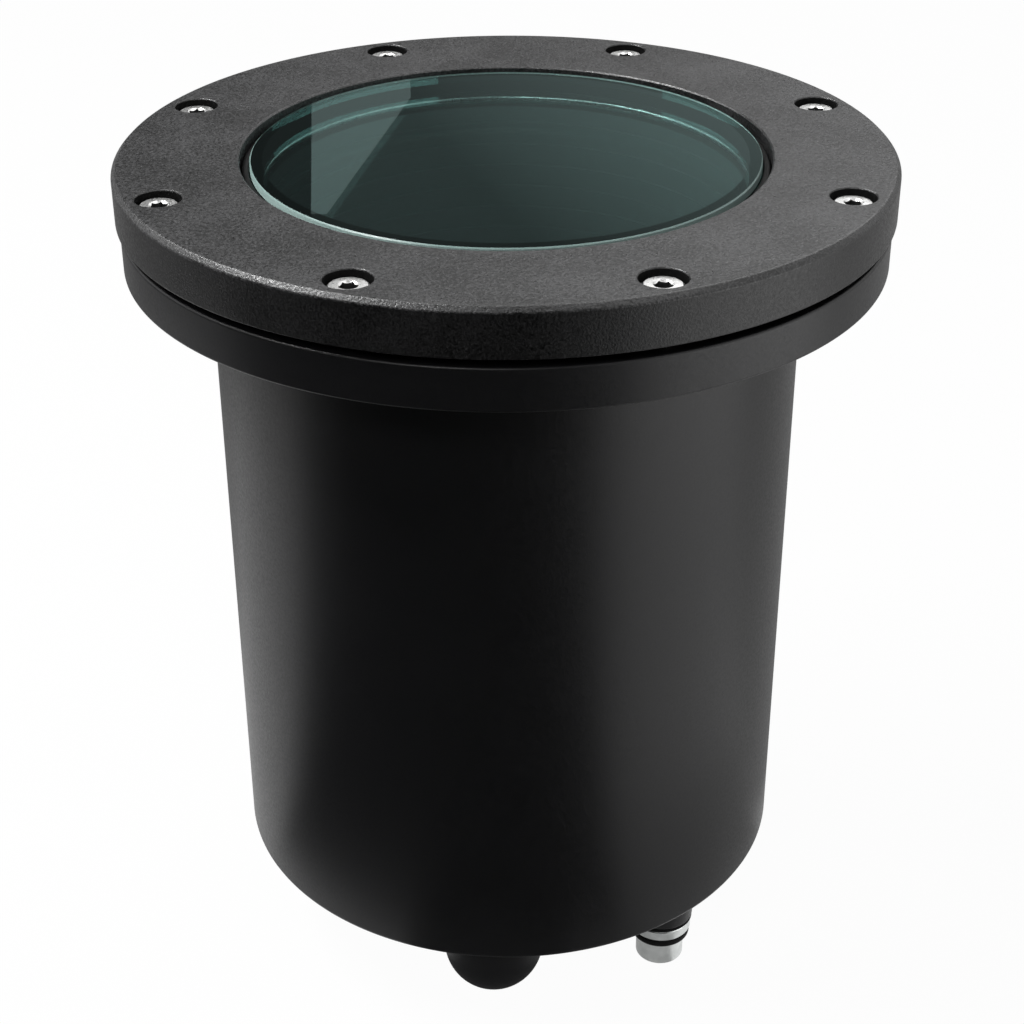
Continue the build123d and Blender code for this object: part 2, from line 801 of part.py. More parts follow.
with BuildPart() as reflector:
    with BuildSketch(Plane.XZ) as bowl_section:
        with BuildLine():
            inner_curve = Bezier(
                (reflector_throat_radius, reflector_z),
                (inner_belly, reflector_z + reflector_wall),
                (reflector_mouth_radius, lens_seat_z),
            )
            Polyline(
                inner_curve @ 1,
                (reflector_rim_radius, lens_seat_z),
                (reflector_rim_radius, rim_z),
                (reflector_mouth_radius + reflector_wall, rim_z),
            )
            outer_curve = Bezier(
                (reflector_mouth_radius + reflector_wall, rim_z),
                (inner_belly + reflector_wall, reflector_z),
                (reflector_throat_radius + reflector_wall, reflector_z),
            )
            Line(outer_curve @ 1, inner_curve @ 0)
        make_face()
    revolve(axis=Axis.Z)
save(reflector, "reflector")

with BuildPart() as lamp_seal:
    with BuildSketch(Plane.XY.offset(lens_seat_z)):
        Circle(lamp_radius)
        Circle(lamp_radius - lamp_seal_width, mode=Mode.SUBTRACT)
    extrude(amount=lamp_seal_thickness)
save(lamp_seal, "lamp_seal")

lamp_lens_z = lens_seat_z + lamp_seal_thickness
lamp_lens_top_z = lamp_lens_z + lamp_lens_thickness

with BuildPart() as lamp_lens:
    with BuildSketch(Plane.XY.offset(lamp_lens_z)):
        Circle(lamp_radius)
    extrude(amount=lamp_lens_thickness)
save(lamp_lens, "lamp_lens")

bezel_top_z = tilt_z + bezel_rise
bezel_bottom_z = bezel_top_z - bezel_skirt
bezel_bore = lamp_radius + bezel_play
bezel_radius = bezel_bore + bezel_wall
bezel_opening_radius = lamp_radius - bezel_cover
grub_z = (bezel_bottom_z + rim_z) / 2
grub_planes = [
    Plane(origin=(0, 0, grub_z), z_dir=(cos(radians(angle)), sin(radians(angle)), 0))
    for angle in grub_angles
]

with BuildPart() as lamp_bezel:
    revolve(
        half_section(
            (bezel_bore, bezel_bottom_z),
            (bezel_radius, bezel_bottom_z),
            (bezel_radius, bezel_top_z - bezel_chamfer),
            (bezel_radius - bezel_chamfer, bezel_top_z),
            (bezel_opening_radius + bezel_chamfer, bezel_top_z),
            (bezel_opening_radius, lamp_lens_top_z + bezel_lip),
            (bezel_opening_radius, lamp_lens_top_z),
            (bezel_bore, lamp_lens_top_z),
        ),
        axis=Axis.Z,
    )
    for grub_plane in grub_planes:
        with BuildSketch(grub_plane.offset(bezel_bore - bezel_play)):
            Circle(grub_radius + thread_clearance)
        extrude(amount=bezel_wall + 2 * bezel_play, mode=Mode.SUBTRACT)
save(lamp_bezel, "lamp_bezel")

with BuildPart() as bezel_screws:
    for grub_plane in grub_planes:
        with BuildSketch(grub_plane.offset(lamp_radius)):
            Circle(grub_radius)
        extrude(amount=bezel_play + bezel_wall)
save(bezel_screws, "bezel_screws")

tilt_head_x = yoke_outer + slip_gap

with BuildPart() as tilt_screws:
    for side in tilt_sides:
        with BuildSketch(side.offset(lug_face - tilt_screw_grip)):
            Circle(tilt_screw_radius)
        extrude(amount=tilt_screw_grip + tilt_head_x - lug_face)
        with BuildSketch(side.offset(tilt_head_x)):
            Circle(tilt_head_radius)
            with PolarLocations(tilt_head_radius, tilt_head_flutes):
                Circle(tilt_flute_radius, mode=Mode.SUBTRACT)
        extrude(amount=tilt_head_height)
save(tilt_screws, "tilt_screws")

with BuildPart() as tilt_washers:
    for side in tilt_sides:
        with BuildSketch(side.offset(lug_face)):
            Circle(tilt_washer_radius)
            Circle(tilt_screw_radius, mode=Mode.SUBTRACT)
        extrude(amount=yoke_arm_gap)
save(tilt_washers, "tilt_washers")

# ---- cable gland ---------------------------------------------------------------------

gland_axis = Axis((gland_x, gland_y, 0), (0, 0, 1))
gland_place = Location((gland_x, gland_y, 0))

with BuildPart() as gland_washer:
    revolve(
        half_section(
            (gland_thread_radius, gland_washer_z),
            (gland_washer_radius, gland_washer_z),
            (gland_washer_radius, gland_boss_z),
            (gland_thread_radius, gland_boss_z),
        ).moved(gland_place),
        axis=gland_axis,
    )
save(gland_washer, "gland_washer")

with BuildPart() as gland_body:
    revolve(
        half_section(
            (gland_bore_radius, gland_flange_z + gland_seal_sleeve_length + gland_edge),
            (gland_seal_sleeve_radius, gland_flange_z + gland_seal_sleeve_length),
            (gland_seal_sleeve_radius, gland_flange_z),
            (gland_flange_radius - gland_edge, gland_flange_z),
            (gland_flange_radius, gland_flange_z + gland_edge),
            (gland_flange_radius, gland_washer_z - gland_edge),
            (gland_flange_radius - gland_edge, gland_washer_z),
            (gland_thread_radius, gland_washer_z),
            (gland_thread_radius, floor_z + gland_thread_rise),
            (gland_bore_radius, floor_z + gland_thread_rise),
        ).moved(gland_place),
        axis=gland_axis,
    )
save(gland_body, "gland_body")

with BuildPart() as gland_seal:
    revolve(
        half_section(
            (cable_radius, gland_seal_z),
            (gland_seal_radius, gland_seal_z),
            (gland_seal_radius, gland_flange_z),
            (gland_seal_sleeve_radius, gland_flange_z),
            (gland_seal_sleeve_radius, gland_flange_z + gland_seal_sleeve_length),
            (cable_radius, gland_flange_z + gland_seal_sleeve_length),
        ).moved(gland_place),
        axis=gland_axis,
    )
save(gland_seal, "gland_seal")

with BuildPart() as gland_nut:
    revolve(
        half_section(
            (gland_bore_radius, gland_nut_z),
            (gland_nut_radius - gland_edge, gland_nut_z),
            (gland_nut_radius, gland_nut_z + gland_edge),
            (gland_nut_radius, gland_seal_z),
            (gland_seal_sleeve_radius, gland_seal_z),
            (gland_seal_sleeve_radius, gland_nut_z + gland_nut_end + gland_edge),
            (gland_bore_radius, gland_nut_z + gland_nut_end),
        ).moved(gland_place),
        axis=gland_axis,
    )
save(gland_nut, "gland_nut")

# ---- feet -------------------------------------------------------------------------------

stud_plate_z = base_z - stud_depth_in_foot
stud_end_z = base_z + stud_engagement

with BuildSketch(Plane.XZ) as foot_section:
    with BuildLine():
        Line((0, base_z), (foot_radius, base_z))
        Line((foot_radius, base_z), (foot_radius, foot_radius))
        RadiusArc((foot_radius, foot_radius), (0, 0), foot_radius)
        Line((0, 0), (0, base_z))
    make_face()

for foot_number, foot_place in enumerate(foot_places.locations, start=1):
    foot_x, foot_y = foot_place.position.X, foot_place.position.Y
    with BuildPart() as foot:
        revolve(
            foot_section.sketch.moved(Location((foot_x, foot_y, 0))),
            axis=Axis((foot_x, foot_y, 0), (0, 0, 1)),
        )
        with BuildSketch(Plane.XY.offset(stud_plate_z)):
            with Locations((foot_x, foot_y)):
                Circle(stud_radius)
        extrude(amount=stud_depth_in_foot, mode=Mode.SUBTRACT)
        with BuildSketch(Plane.XY.offset(stud_plate_z)):
            with Locations((foot_x, foot_y)):
                Circle(stud_plate_radius)
        extrude(amount=stud_plate_thickness, mode=Mode.SUBTRACT)
    save(foot, f"foot_{foot_number}")

with BuildPart() as foot_studs:
    with BuildSketch(Plane.XY.offset(stud_plate_z)):
        with foot_places:
            Circle(stud_plate_radius)
    extrude(amount=stud_plate_thickness)
    with BuildSketch(Plane.XY.offset(stud_plate_z)):
        with foot_places:
            Circle(stud_radius)
    extrude(amount=stud_end_z - hole_end - stud_plate_z)
save(foot_studs, "foot_studs")
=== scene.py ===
import json
from math import atan2, cos, pi, radians, sin, tau

import bmesh
import bpy
from mathutils import Matrix, Vector

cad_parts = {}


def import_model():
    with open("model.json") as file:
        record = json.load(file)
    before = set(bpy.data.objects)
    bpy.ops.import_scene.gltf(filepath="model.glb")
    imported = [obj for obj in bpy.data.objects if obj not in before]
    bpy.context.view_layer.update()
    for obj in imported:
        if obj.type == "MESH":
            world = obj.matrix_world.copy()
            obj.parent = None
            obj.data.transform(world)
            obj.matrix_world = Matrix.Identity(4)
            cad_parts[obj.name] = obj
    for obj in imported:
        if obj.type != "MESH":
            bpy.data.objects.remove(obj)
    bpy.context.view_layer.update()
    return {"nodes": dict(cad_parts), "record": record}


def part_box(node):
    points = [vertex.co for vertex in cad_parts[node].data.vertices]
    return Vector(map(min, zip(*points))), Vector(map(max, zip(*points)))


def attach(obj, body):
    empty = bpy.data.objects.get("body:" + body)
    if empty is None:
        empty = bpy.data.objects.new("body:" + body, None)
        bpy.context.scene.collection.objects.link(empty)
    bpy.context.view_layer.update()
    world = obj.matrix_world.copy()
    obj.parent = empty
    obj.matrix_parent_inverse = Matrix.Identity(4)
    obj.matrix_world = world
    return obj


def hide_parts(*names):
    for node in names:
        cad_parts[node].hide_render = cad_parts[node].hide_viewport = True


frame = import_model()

# Studio picture of an in-ground well light. Outlines are written in millimetres, as (radius,
# height, rounding) corners turned about a vertical axis, and MM turns them into metres. The
# places and outer sizes come from the frame, and the sizes inside them are named below.

MM = 0.001

# Sides of large round pieces, of small ones, and of holes.
SIDES = 288
FINE_SIDES = 96
SMALL_SIDES = 48


# ---- sizes ---------------------------------------------------------------------------------

def size(node):
    """Centre x and y, radius, bottom and top of a round node, in mm."""
    low, high = (Vector(corner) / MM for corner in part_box(node))
    return (low.x + high.x) / 2, (low.y + high.y) / 2, (high.x - low.x) / 2, low.z, high.z


_, _, RING_RADIUS, RING_BOTTOM, RING_TOP = size("cover_ring")
_, _, GLASS_RADIUS, GLASS_BOTTOM, GLASS_TOP = size("lens_glass")
_, _, GASKET_RADIUS, GASKET_BOTTOM, GASKET_TOP = size("lens_gasket")
_, _, FLANGE_RADIUS, BOSS_BOTTOM, FLANGE_TOP = size("canister")
_, _, SEAL_RADIUS, SEAL_BOTTOM, SEAL_TOP = size("flange_gasket")
_, _, BAFFLE_RADIUS, BAFFLE_BOTTOM, BAFFLE_TOP = size("glare_baffle")
GLAND_X, GLAND_Y, WASHER_RADIUS, WASHER_BOTTOM, WASHER_TOP = size("gland_washer")
_, _, GLAND_RADIUS, GLAND_BOTTOM, GLAND_TOP = size("gland_body")
_, _, CLAMP_RADIUS, CLAMP_BOTTOM, CLAMP_TOP = size("gland_seal")
_, _, NUT_RADIUS, NUT_BOTTOM, NUT_TOP = size("gland_nut")
_, _, BEZEL_RADIUS, BEZEL_BOTTOM, BEZEL_TOP = size("lamp_bezel")
_, _, LAMP_RADIUS, LAMP_LENS_BOTTOM, LAMP_LENS_TOP = size("lamp_lens")
_, _, _, SCREW_BOTTOM, SCREW_TOP = size("cover_screws")
_, _, _, TRAY_BOTTOM, _ = size("gear_tray")
_, _, _, _, FOOT_TOP = size("foot_1")

# Room round a piece in its seat, and how far a cutting tool reaches past what it cuts.
FIT = 0.2
BEYOND = 1

RING_CHAMFER = 1.2
OPENING_RADIUS = 68.0
OPENING_CHAMFER = 0.4

GLASS_STEP_RADIUS = 65.4
GLASS_RIM_TOP = GLASS_BOTTOM + 7.0
GLASS_CHAMFER = 0.32
GROUND_DEPTH = 2.2
GASKET_WALL = 1.4
GASKET_LIP = (65.6, 67.5)
GASKET_BACK = GLASS_RIM_TOP + GASKET_WALL
RECESS_RADIUS = GASKET_RADIUS + FIT

# HEAD_RISE is how much further the heads come up in their pockets than the solids' heads do.
SCREW_COUNT = 8
SCREW_CIRCLE = 90.8
SCREW_ANGLE = 22.5
HEAD_RADIUS = 5.0
HEAD_HEIGHT = 4.0
HEAD_RISE = 1.0
HEAD_CHAMFER = 0.6
SHANK_RADIUS = 3.0
THREAD_PITCH = 1.0
SOCKET_FLATS = 4.0
SOCKET_DEPTH = 2.4
POCKET_RADIUS = 5.75
POCKET_LIP = 0.35
POCKET_FLOOR = SCREW_TOP - HEAD_HEIGHT
CLEARANCE_RADIUS = 3.3

BASE_BOTTOM = FOOT_TOP
FLOOR = BASE_BOTTOM + 6.0
FLANGE_BOTTOM = FLANGE_TOP - 11.1
MOUTH_RADIUS = BAFFLE_RADIUS + FIT
BORE_RADIUS = 71.4
BODY_RADIUS = 77.4
LEDGE = BAFFLE_TOP - 1.5
PILLAR_COUNT = 3
PILLAR_ANGLE = 90.0
PILLAR_RADIUS = 7.0
PILLAR_BITE = 0.6

BAFFLE_STEPS = 8
BAFFLE_TOOTH = 0.9
BAFFLE_WALL = 1.2
BAFFLE_TOP_RADIUS = 62.2
BAFFLE_BOTTOM_RADIUS = 58.0
RIM_BARE = 1.3

GLAND_THREAD_RADIUS = 6.0
GLAND_BORE_RADIUS = 4.4
GLAND_BOSS_RADIUS = 9.0
SLEEVE_RADIUS = 4.9
CABLE_RADIUS = 3.5


# ---- geometry ------------------------------------------------------------------------------

def rounded(corners, steps=4):
    """(radius, height) points through the corners (radius, height, rounding), each an arc."""
    points = []
    for number, (radius, height, rounding) in enumerate(corners):
        corner = Vector((radius, height))
        before = Vector(corners[number - 1][:2]) - corner
        after = Vector(corners[(number + 1) % len(corners)][:2]) - corner
        if rounding <= 0 or before.length < 1e-6 or after.length < 1e-6:
            points.append(corner)
            continue
        before.normalize()
        after.normalize()
        half = before.angle(after) / 2
        middle = corner + (before + after).normalized() * rounding / sin(half)
        first = corner + before * rounding * cos(half) / sin(half) - middle
        last = corner + after * rounding * cos(half) / sin(half) - middle
        start = atan2(first.y, first.x)
        sweep = (atan2(last.y, last.x) - start + pi) % tau - pi
        for step in range(steps + 1):
            turn = start + sweep * step / steps
            points.append(middle + rounding * Vector((cos(turn), sin(turn))))
    return points


def lathe(name, points, sides=SIDES, centre=(0, 0), closed=True):
    """A mesh turned about a vertical axis through centre, from (radius, height) points in mm."""
    vertices, rings, faces = [], [], []
    for radius, height in points:
        count = 1 if radius < 1e-6 else sides
        rings.append([len(vertices) + n for n in range(count)])
        for n in range(count):
            turn = tau * n / sides
            vertices.append((
                (centre[0] + radius * cos(turn)) * MM,
                (centre[1] + radius * sin(turn)) * MM,
                height * MM,
            ))
    pairs = list(zip(rings, rings[1:]))
    if closed:
        pairs.append((rings[-1], rings[0]))
    for lower, upper in pairs:
        for n in range(sides):
            following = (n + 1) % sides
            face = list(dict.fromkeys([
                lower[n % len(lower)], lower[following % len(lower)],
                upper[following % len(upper)], upper[n % len(upper)],
            ]))
            if len(face) > 2:
                faces.append(face)
    return make_object(name, vertices, faces)


def drill(name, radius, low, high, centre):
    """A plain round tool between two heights, in mm."""
    outline = [(0, low), (radius, low), (radius, high), (0, high)]
    return lathe(name, outline, SMALL_SIDES, centre, closed=False)


def make_object(name, vertices, faces):
    """A linked object from plain vertices and faces, with its normals outward."""
    mesh = bpy.data.meshes.new(name)
    mesh.from_pydata(vertices, [], faces)
    piece = bpy.data.objects.new(name, mesh)
    bpy.context.scene.collection.objects.link(piece)
    edit(piece, lambda shape: bmesh.ops.recalc_face_normals(shape, faces=shape.faces))
    return piece


def edit(piece, change):
    """Runs change on the piece's mesh as a bmesh."""
    shape = bmesh.new()
    shape.from_mesh(piece.data)
    change(shape)
    shape.to_mesh(piece.data)
    shape.free()


def prism(name, flats, sides, low, high, turn):
    """An upright prism with that many sides, flats apart, between two heights, in mm."""
    radius = flats / 2 / cos(pi / sides)
    corners = [(radius * cos(turn + tau * n / sides), radius * sin(turn + tau * n / sides))
               for n in range(sides)]
    vertices = [(x * MM, y * MM, z * MM) for z in (low, high) for x, y in corners]
    faces = [list(range(sides))[::-1], list(range(sides, 2 * sides))]
    faces += [[n, (n + 1) % sides, sides + (n + 1) % sides, sides + n] for n in range(sides)]
    return make_object(name, vertices, faces)


def thread(name, radius, pitch, low, high):
    """A screwed shank: rings whose radius follows the helix, closed at both ends."""
    sides, steps_per_pitch, depth = 24, 6, 0.55 * pitch
    count = int((high - low) / pitch * steps_per_pitch)
    vertices, faces = [(0, 0, low * MM)], []
    for level in range(count + 1):
        height = low + (high - low) * level / count
        ends = min(1.0, (height - low) / pitch, (high - height) / pitch)
        for side in range(sides):
            phase = (height / pitch - side / sides) % 1.0
            groove = 1 - abs(2 * phase - 1)
            reach = radius - depth * (groove if ends >= 1 else 1 + (groove - 1) * ends)
            turn = tau * side / sides
            vertices.append((reach * cos(turn) * MM, reach * sin(turn) * MM, height * MM))
    vertices.append((0, 0, high * MM))
    last = 1 + count * sides
    for side in range(sides):
        following = (side + 1) % sides
        faces.append([0, 1 + following, 1 + side])
        for level in range(count):
            lower, upper = 1 + level * sides, 1 + (level + 1) * sides
            faces.append([lower + side, lower + following, upper + following, upper + side])
        faces.append([last + side, last + following, len(vertices) - 1])
    return make_object(name, vertices, faces)


def cut(piece, *tools, operation="DIFFERENCE"):
    """Applies the tools to the piece, one after another, and deletes them."""
    for tool in tools:
        modifier = piece.modifiers.new("cut", "BOOLEAN")
        modifier.operation = operation
        modifier.solver = "EXACT"
        modifier.object = tool
    graph = bpy.context.evaluated_depsgraph_get()
    mesh = bpy.data.meshes.new_from_object(piece.evaluated_get(graph))
    piece.modifiers.clear()
    old, piece.data = piece.data, mesh
    bpy.data.meshes.remove(old)
    for tool in tools:
        bpy.data.objects.remove(tool)


def join(name, parts):
    """One object from several meshes."""
    shape = bmesh.new()
    for part in parts:
        shape.from_mesh(part.data)
        bpy.data.objects.remove(part)
    mesh = bpy.data.meshes.new(name)
    shape.to_mesh(mesh)
    shape.free()
    piece = bpy.data.objects.new(name, mesh)
    bpy.context.scene.collection.objects.link(piece)
    return piece


def soften(piece, sharp):
    """Smooth shading with sharp edges kept, and flats that stay flat beside small roundings."""
    for face in piece.data.polygons:
        face.use_smooth = True
    piece.data.set_sharp_from_angle(angle=radians(sharp))
    weighted = piece.modifiers.new("weighted normals", "WEIGHTED_NORMAL")
    weighted.keep_sharp = True


def add(piece, body, slot, *nodes, sharp=32.0):
    """Finishes a piece: shading, the material of its slot, parenting to its body, and hiding the
    nodes it stands for.
    """
    soften(piece, sharp)
    piece.data.materials.clear()
    piece.data.materials.append(SLOTS[slot])
    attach(piece, body)
    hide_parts(*nodes)


def paint(piece, materials, choose):
    """Gives faces other materials; choose returns one, or None for the piece's own."""
    for material in materials:
        piece.data.materials.append(material)
    for face in piece.data.polygons:
        chosen = choose(face)
        face.material_index = 0 if chosen is None else 1 + materials.index(chosen)


def reach_of(face):
    """Distance of a face from the piece's upright axis, in mm."""
    return Vector(face.center[:2]).length / MM


def around(count, circle, start):
    """(number, x, y, angle) of places on a circle, in mm and radians."""
    for number in range(count):
        turn = radians(start) + tau * number / count
        yield number + 1, circle * cos(turn), circle * sin(turn), turn


def screw_places():
    """Places of the cover screws."""
    return around(SCREW_COUNT, SCREW_CIRCLE, SCREW_ANGLE)


# ---- materials -----------------------------------------------------------------------------

class Finish:
    """A node material, built one node at a time round its shader."""

    def __init__(self, name, **shader):
        self.material = bpy.data.materials.new(name)
        self.material.use_nodes = True
        self.tree = self.material.node_tree
        self.shader = self.tree.nodes["Principled BSDF"]
        self.place = self.node("ShaderNodeTexCoord").outputs["Object"]
        for socket, value in shader.items():
            self.shader.inputs[socket.replace("_", " ")].default_value = value

    def node(self, kind, inputs=None, **settings):
        """Adds a node; inputs by name or number are values or other nodes' outputs."""
        made = self.tree.nodes.new(kind)
        for setting, value in settings.items():
            setattr(made, setting, value)
        for socket, value in (inputs or {}).items():
            self.feed(made.inputs[socket], value)
        return made

    def feed(self, socket, value):
        """Links an output to the socket, or sets its value."""
        if isinstance(value, bpy.types.NodeSocket):
            self.tree.links.new(value, socket)
        else:
            socket.default_value = value

    def noise(self, grain, detail=2.0, place=None):
        """Noise whose grains are about that many mm across."""
        inputs = {"Vector": place or self.place, "Scale": 1 / (grain * MM), "Detail": detail}
        return self.node("ShaderNodeTexNoise", inputs).outputs["Fac"]

    def spread(self, value, low, high, start=0.3, end=0.7):
        """Maps value from start..end to low..high."""
        inputs = {"Value": value, "From Min": start, "From Max": end, "To Min": low, "To Max": high}
        return self.node("ShaderNodeMapRange", inputs).outputs["Result"]

    def blend(self, factor, dark, light):
        """A colour between dark and light."""
        mixed = self.node("ShaderNodeMix", data_type="RGBA")
        for name, value in (("Factor", factor), ("A", (*dark, 1)), ("B", (*light, 1))):
            self.feed([s for s in mixed.inputs if s.name == name and s.enabled][0], value)
        return [s for s in mixed.outputs if s.enabled][0]

    def math(self, operation, *values):
        """One Math node."""
        return self.node("ShaderNodeMath", dict(enumerate(values)), operation=operation).outputs[0]

    def vector(self, operation, *values):
        """One Vector Math node."""
        return self.node("ShaderNodeVectorMath", dict(enumerate(values)), operation=operation)

    def mix(self, factor, first, second):
        """One shader between two."""
        inputs = {0: factor, 1: first.outputs[0], 2: second.outputs[0]}
        return self.node("ShaderNodeMixShader", inputs)

    def bump(self, height, depth):
        """A bump that many mm deep."""
        inputs = {"Height": height, "Distance": depth * MM, "Strength": 1.0}
        return self.node("ShaderNodeBump", inputs).outputs["Normal"]

    def use(self, **links):
        """Links outputs to the shader's sockets."""
        for socket, value in links.items():
            self.tree.links.new(value, self.shader.inputs[socket.replace("_", " ")])
        return self.material

    def show(self, shader, socket="Surface"):
        """Links a node to the material's output in the shader's place."""
        if self.shader:
            self.tree.nodes.remove(self.shader)
            self.shader = None
        output = self.tree.nodes["Material Output"]
        self.tree.links.new(shader.outputs[0], output.inputs[socket])
        return self.material


def grey(level):
    """A colour without hue."""
    return level, level, level


def coat(name, dark, light, roughness, grain, depth, ior=1.45, contrast=(0.3, 0.7)):
    """Powder coat or moulded surface: fine grains over a slow cloudy change."""
    cloud_size, fine_share, gloss_grain = 18.0, 0.75, 1.4
    finish = Finish(name, IOR=ior)
    fine = finish.noise(grain, 3.0)
    cloud = finish.noise(cloud_size)
    mixed = finish.math("ADD", finish.math("MULTIPLY", fine, fine_share),
                        finish.math("MULTIPLY", cloud, 1 - fine_share))
    return finish.use(
        Base_Color=finish.blend(finish.spread(mixed, 0, 1, *contrast), dark, light),
        Roughness=finish.spread(finish.noise(grain * gloss_grain), *roughness),
        Normal=finish.bump(fine, depth),
    )


def metal(name, colour, dark, roughness, grain, depth, stretch=(1, 1, 1)):
    """Bare metal with a fine grain, drawn out along an axis where stretch is small."""
    cloud_grains = 14
    finish = Finish(name, Metallic=1.0)
    drawn = finish.vector("MULTIPLY", finish.place, stretch)
    grains = finish.noise(grain, 3.0, drawn.outputs["Vector"])
    cloud = finish.noise(grain * cloud_grains)
    return finish.use(
        Base_Color=finish.blend(finish.spread(cloud, 0, 1), dark, colour),
        Roughness=finish.spread(grains, *roughness),
        Normal=finish.bump(grains, depth),
    )


def turned(name, colour, dark, roughness, pitch, depth):
    """Metal turned on a lathe about the piece's own upright axis, with fine rings."""
    finish = Finish(name, Metallic=1.0)
    flat = finish.vector("MULTIPLY", finish.place, (1, 1, 0))
    radius = finish.vector("LENGTH", flat.outputs["Vector"])
    ring = finish.node("ShaderNodeCombineXYZ", {"X": radius.outputs["Value"]}).outputs["Vector"]
    rings = finish.noise(pitch, place=ring)
    specks = finish.noise(pitch * 2)
    return finish.use(
        Base_Color=finish.blend(finish.spread(specks, 0, 1), dark, colour),
        Roughness=finish.spread(specks, *roughness),
        Normal=finish.bump(rings, depth),
    )


def ground_glass(name, dark, light):
    """Ground, frosted glass, pale green."""
    grain, depth, roughness = 0.25, 0.01, (0.28, 0.45)
    finish = Finish(name, IOR=1.5)
    fine = finish.noise(grain, 3.0)
    return finish.use(
        Base_Color=finish.blend(finish.spread(fine, 0, 1), dark, light),
        Roughness=finish.spread(fine, *roughness),
        Normal=finish.bump(fine, depth),
    )


def clear_glass(name, tint, gloss, depth_tint, density, ior=1.52):
    """Glass that refracts and mirrors by Fresnel, darkens with its thickness and lets light by."""
    wave_size, wave_depth, haze_size, haze = 30.0, 0.002, 4.0, 0.012
    finish = Finish(name)
    waves = finish.bump(finish.noise(wave_size), wave_depth)
    rough = finish.spread(finish.noise(haze_size), 0.0, haze)
    through = finish.node(
        "ShaderNodeBsdfRefraction", {"Color": (*tint, 1), "Roughness": 0.0, "IOR": ior})
    mirror = finish.node(
        "ShaderNodeBsdfGlossy", {"Color": (*gloss, 1), "Roughness": rough, "Normal": waves})
    fresnel = finish.node("ShaderNodeFresnel", {"IOR": ior})
    shadow = finish.node("ShaderNodeBsdfTransparent", {"Color": (*tint, 1)})
    path = finish.node("ShaderNodeLightPath")
    seen = finish.mix(fresnel.outputs[0], through, mirror)
    finish.show(finish.mix(path.outputs["Is Shadow Ray"], seen, shadow))
    depth = {"Color": (*depth_tint, 1), "Density": density}
    return finish.show(finish.node("ShaderNodeVolumeAbsorption", depth), "Volume")


# Coats and plastics: dark and light colour, roughness, then grain and its depth in mm.
# Metals: colour and darker colour, roughness, then grain and its depth in mm.
GLASS_TINT, GLASS_DEPTH_TINT, GLASS_DENSITY = (0.86, 0.94, 0.93), (0.46, 0.60, 0.59), 38.0
SLOTS = {
    "ring_coat": coat("sand_texture_coat", grey(0.002), (0.036, 0.036, 0.037), (0.26, 0.50),
                      0.60, 0.16, ior=1.48, contrast=(0.42, 0.60)),
    "body_coat": coat("satin_coat", (0.004, 0.004, 0.0045), (0.007, 0.007, 0.008),
                      (0.34, 0.46), 0.5, 0.012, ior=1.42),
    "black_rubber": coat("black_rubber", grey(0.004), grey(0.009), (0.5, 0.68), 0.3, 0.01,
                         ior=1.2),
    "foot_rubber": coat("foot_rubber", (0.006, 0.006, 0.007), (0.010, 0.010, 0.011),
                        (0.38, 0.5), 0.3, 0.012, ior=1.4),
    "baffle_black": coat("matt_black", grey(0.006), grey(0.012), (0.6, 0.8), 0.4, 0.004,
                         ior=1.12),
    "bezel_black": coat("black_anodised", (0.014, 0.014, 0.016), (0.026, 0.026, 0.03),
                        (0.3, 0.42), 0.2, 0.006),
    "driver_plastic": coat("dark_plastic", (0.10, 0.10, 0.11), (0.16, 0.16, 0.17),
                           (0.45, 0.6), 0.3, 0.02),
    "white_plastic": coat("white_plastic", (0.80, 0.80, 0.78), (0.88, 0.88, 0.86),
                          (0.38, 0.5), 0.4, 0.006),
    "terminal_plastic": coat("terminal_plastic", (0.72, 0.72, 0.68), (0.84, 0.84, 0.81),
                             (0.42, 0.55), 0.4, 0.008),
    "nylon": coat("nylon", (0.80, 0.79, 0.74), (0.90, 0.89, 0.84), (0.35, 0.5), 0.5, 0.004),
    "board_white": coat("solder_mask", (0.80, 0.82, 0.80), (0.88, 0.89, 0.88),
                        (0.22, 0.34), 0.5, 0.004),
    "phosphor": coat("phosphor", (0.82, 0.62, 0.10), (0.95, 0.80, 0.20), (0.5, 0.65),
                     0.4, 0.03),
    "stainless": turned("turned_stainless", (0.86, 0.86, 0.85), (0.72, 0.72, 0.71),
                        (0.26, 0.40), 0.22, 0.003),
    "gland_nickel": metal("satin_nickel", (0.78, 0.80, 0.79), (0.55, 0.57, 0.56),
                          (0.28, 0.44), 0.35, 0.02),
    "zinc_sheet": metal("zinc_sheet", (0.68, 0.69, 0.70), (0.50, 0.52, 0.54), (0.26, 0.44),
                        1.2, 0.006, stretch=(1, 0.12, 1)),
    "cast_aluminium": metal("cast_aluminium", (0.62, 0.63, 0.64), (0.48, 0.49, 0.50),
                            (0.42, 0.58), 0.5, 0.04),
    "brass": metal("brass", (0.80, 0.62, 0.30), (0.60, 0.44, 0.18), (0.22, 0.38), 0.3, 0.006),
    "reflector_bright": metal("bright_reflector", grey(0.90), grey(0.80), (0.08, 0.16),
                              2.2, 0.03),
    "lens_glass": clear_glass("toughened_glass", GLASS_TINT, (0.72, 0.98, 0.96),
                              GLASS_DEPTH_TINT, GLASS_DENSITY),
    "lamp_glass": clear_glass("lamp_glass", (0.96, 0.98, 0.98), (1.0, 1.0, 1.0),
                              (0.9, 0.95, 0.95), 2.0),
}
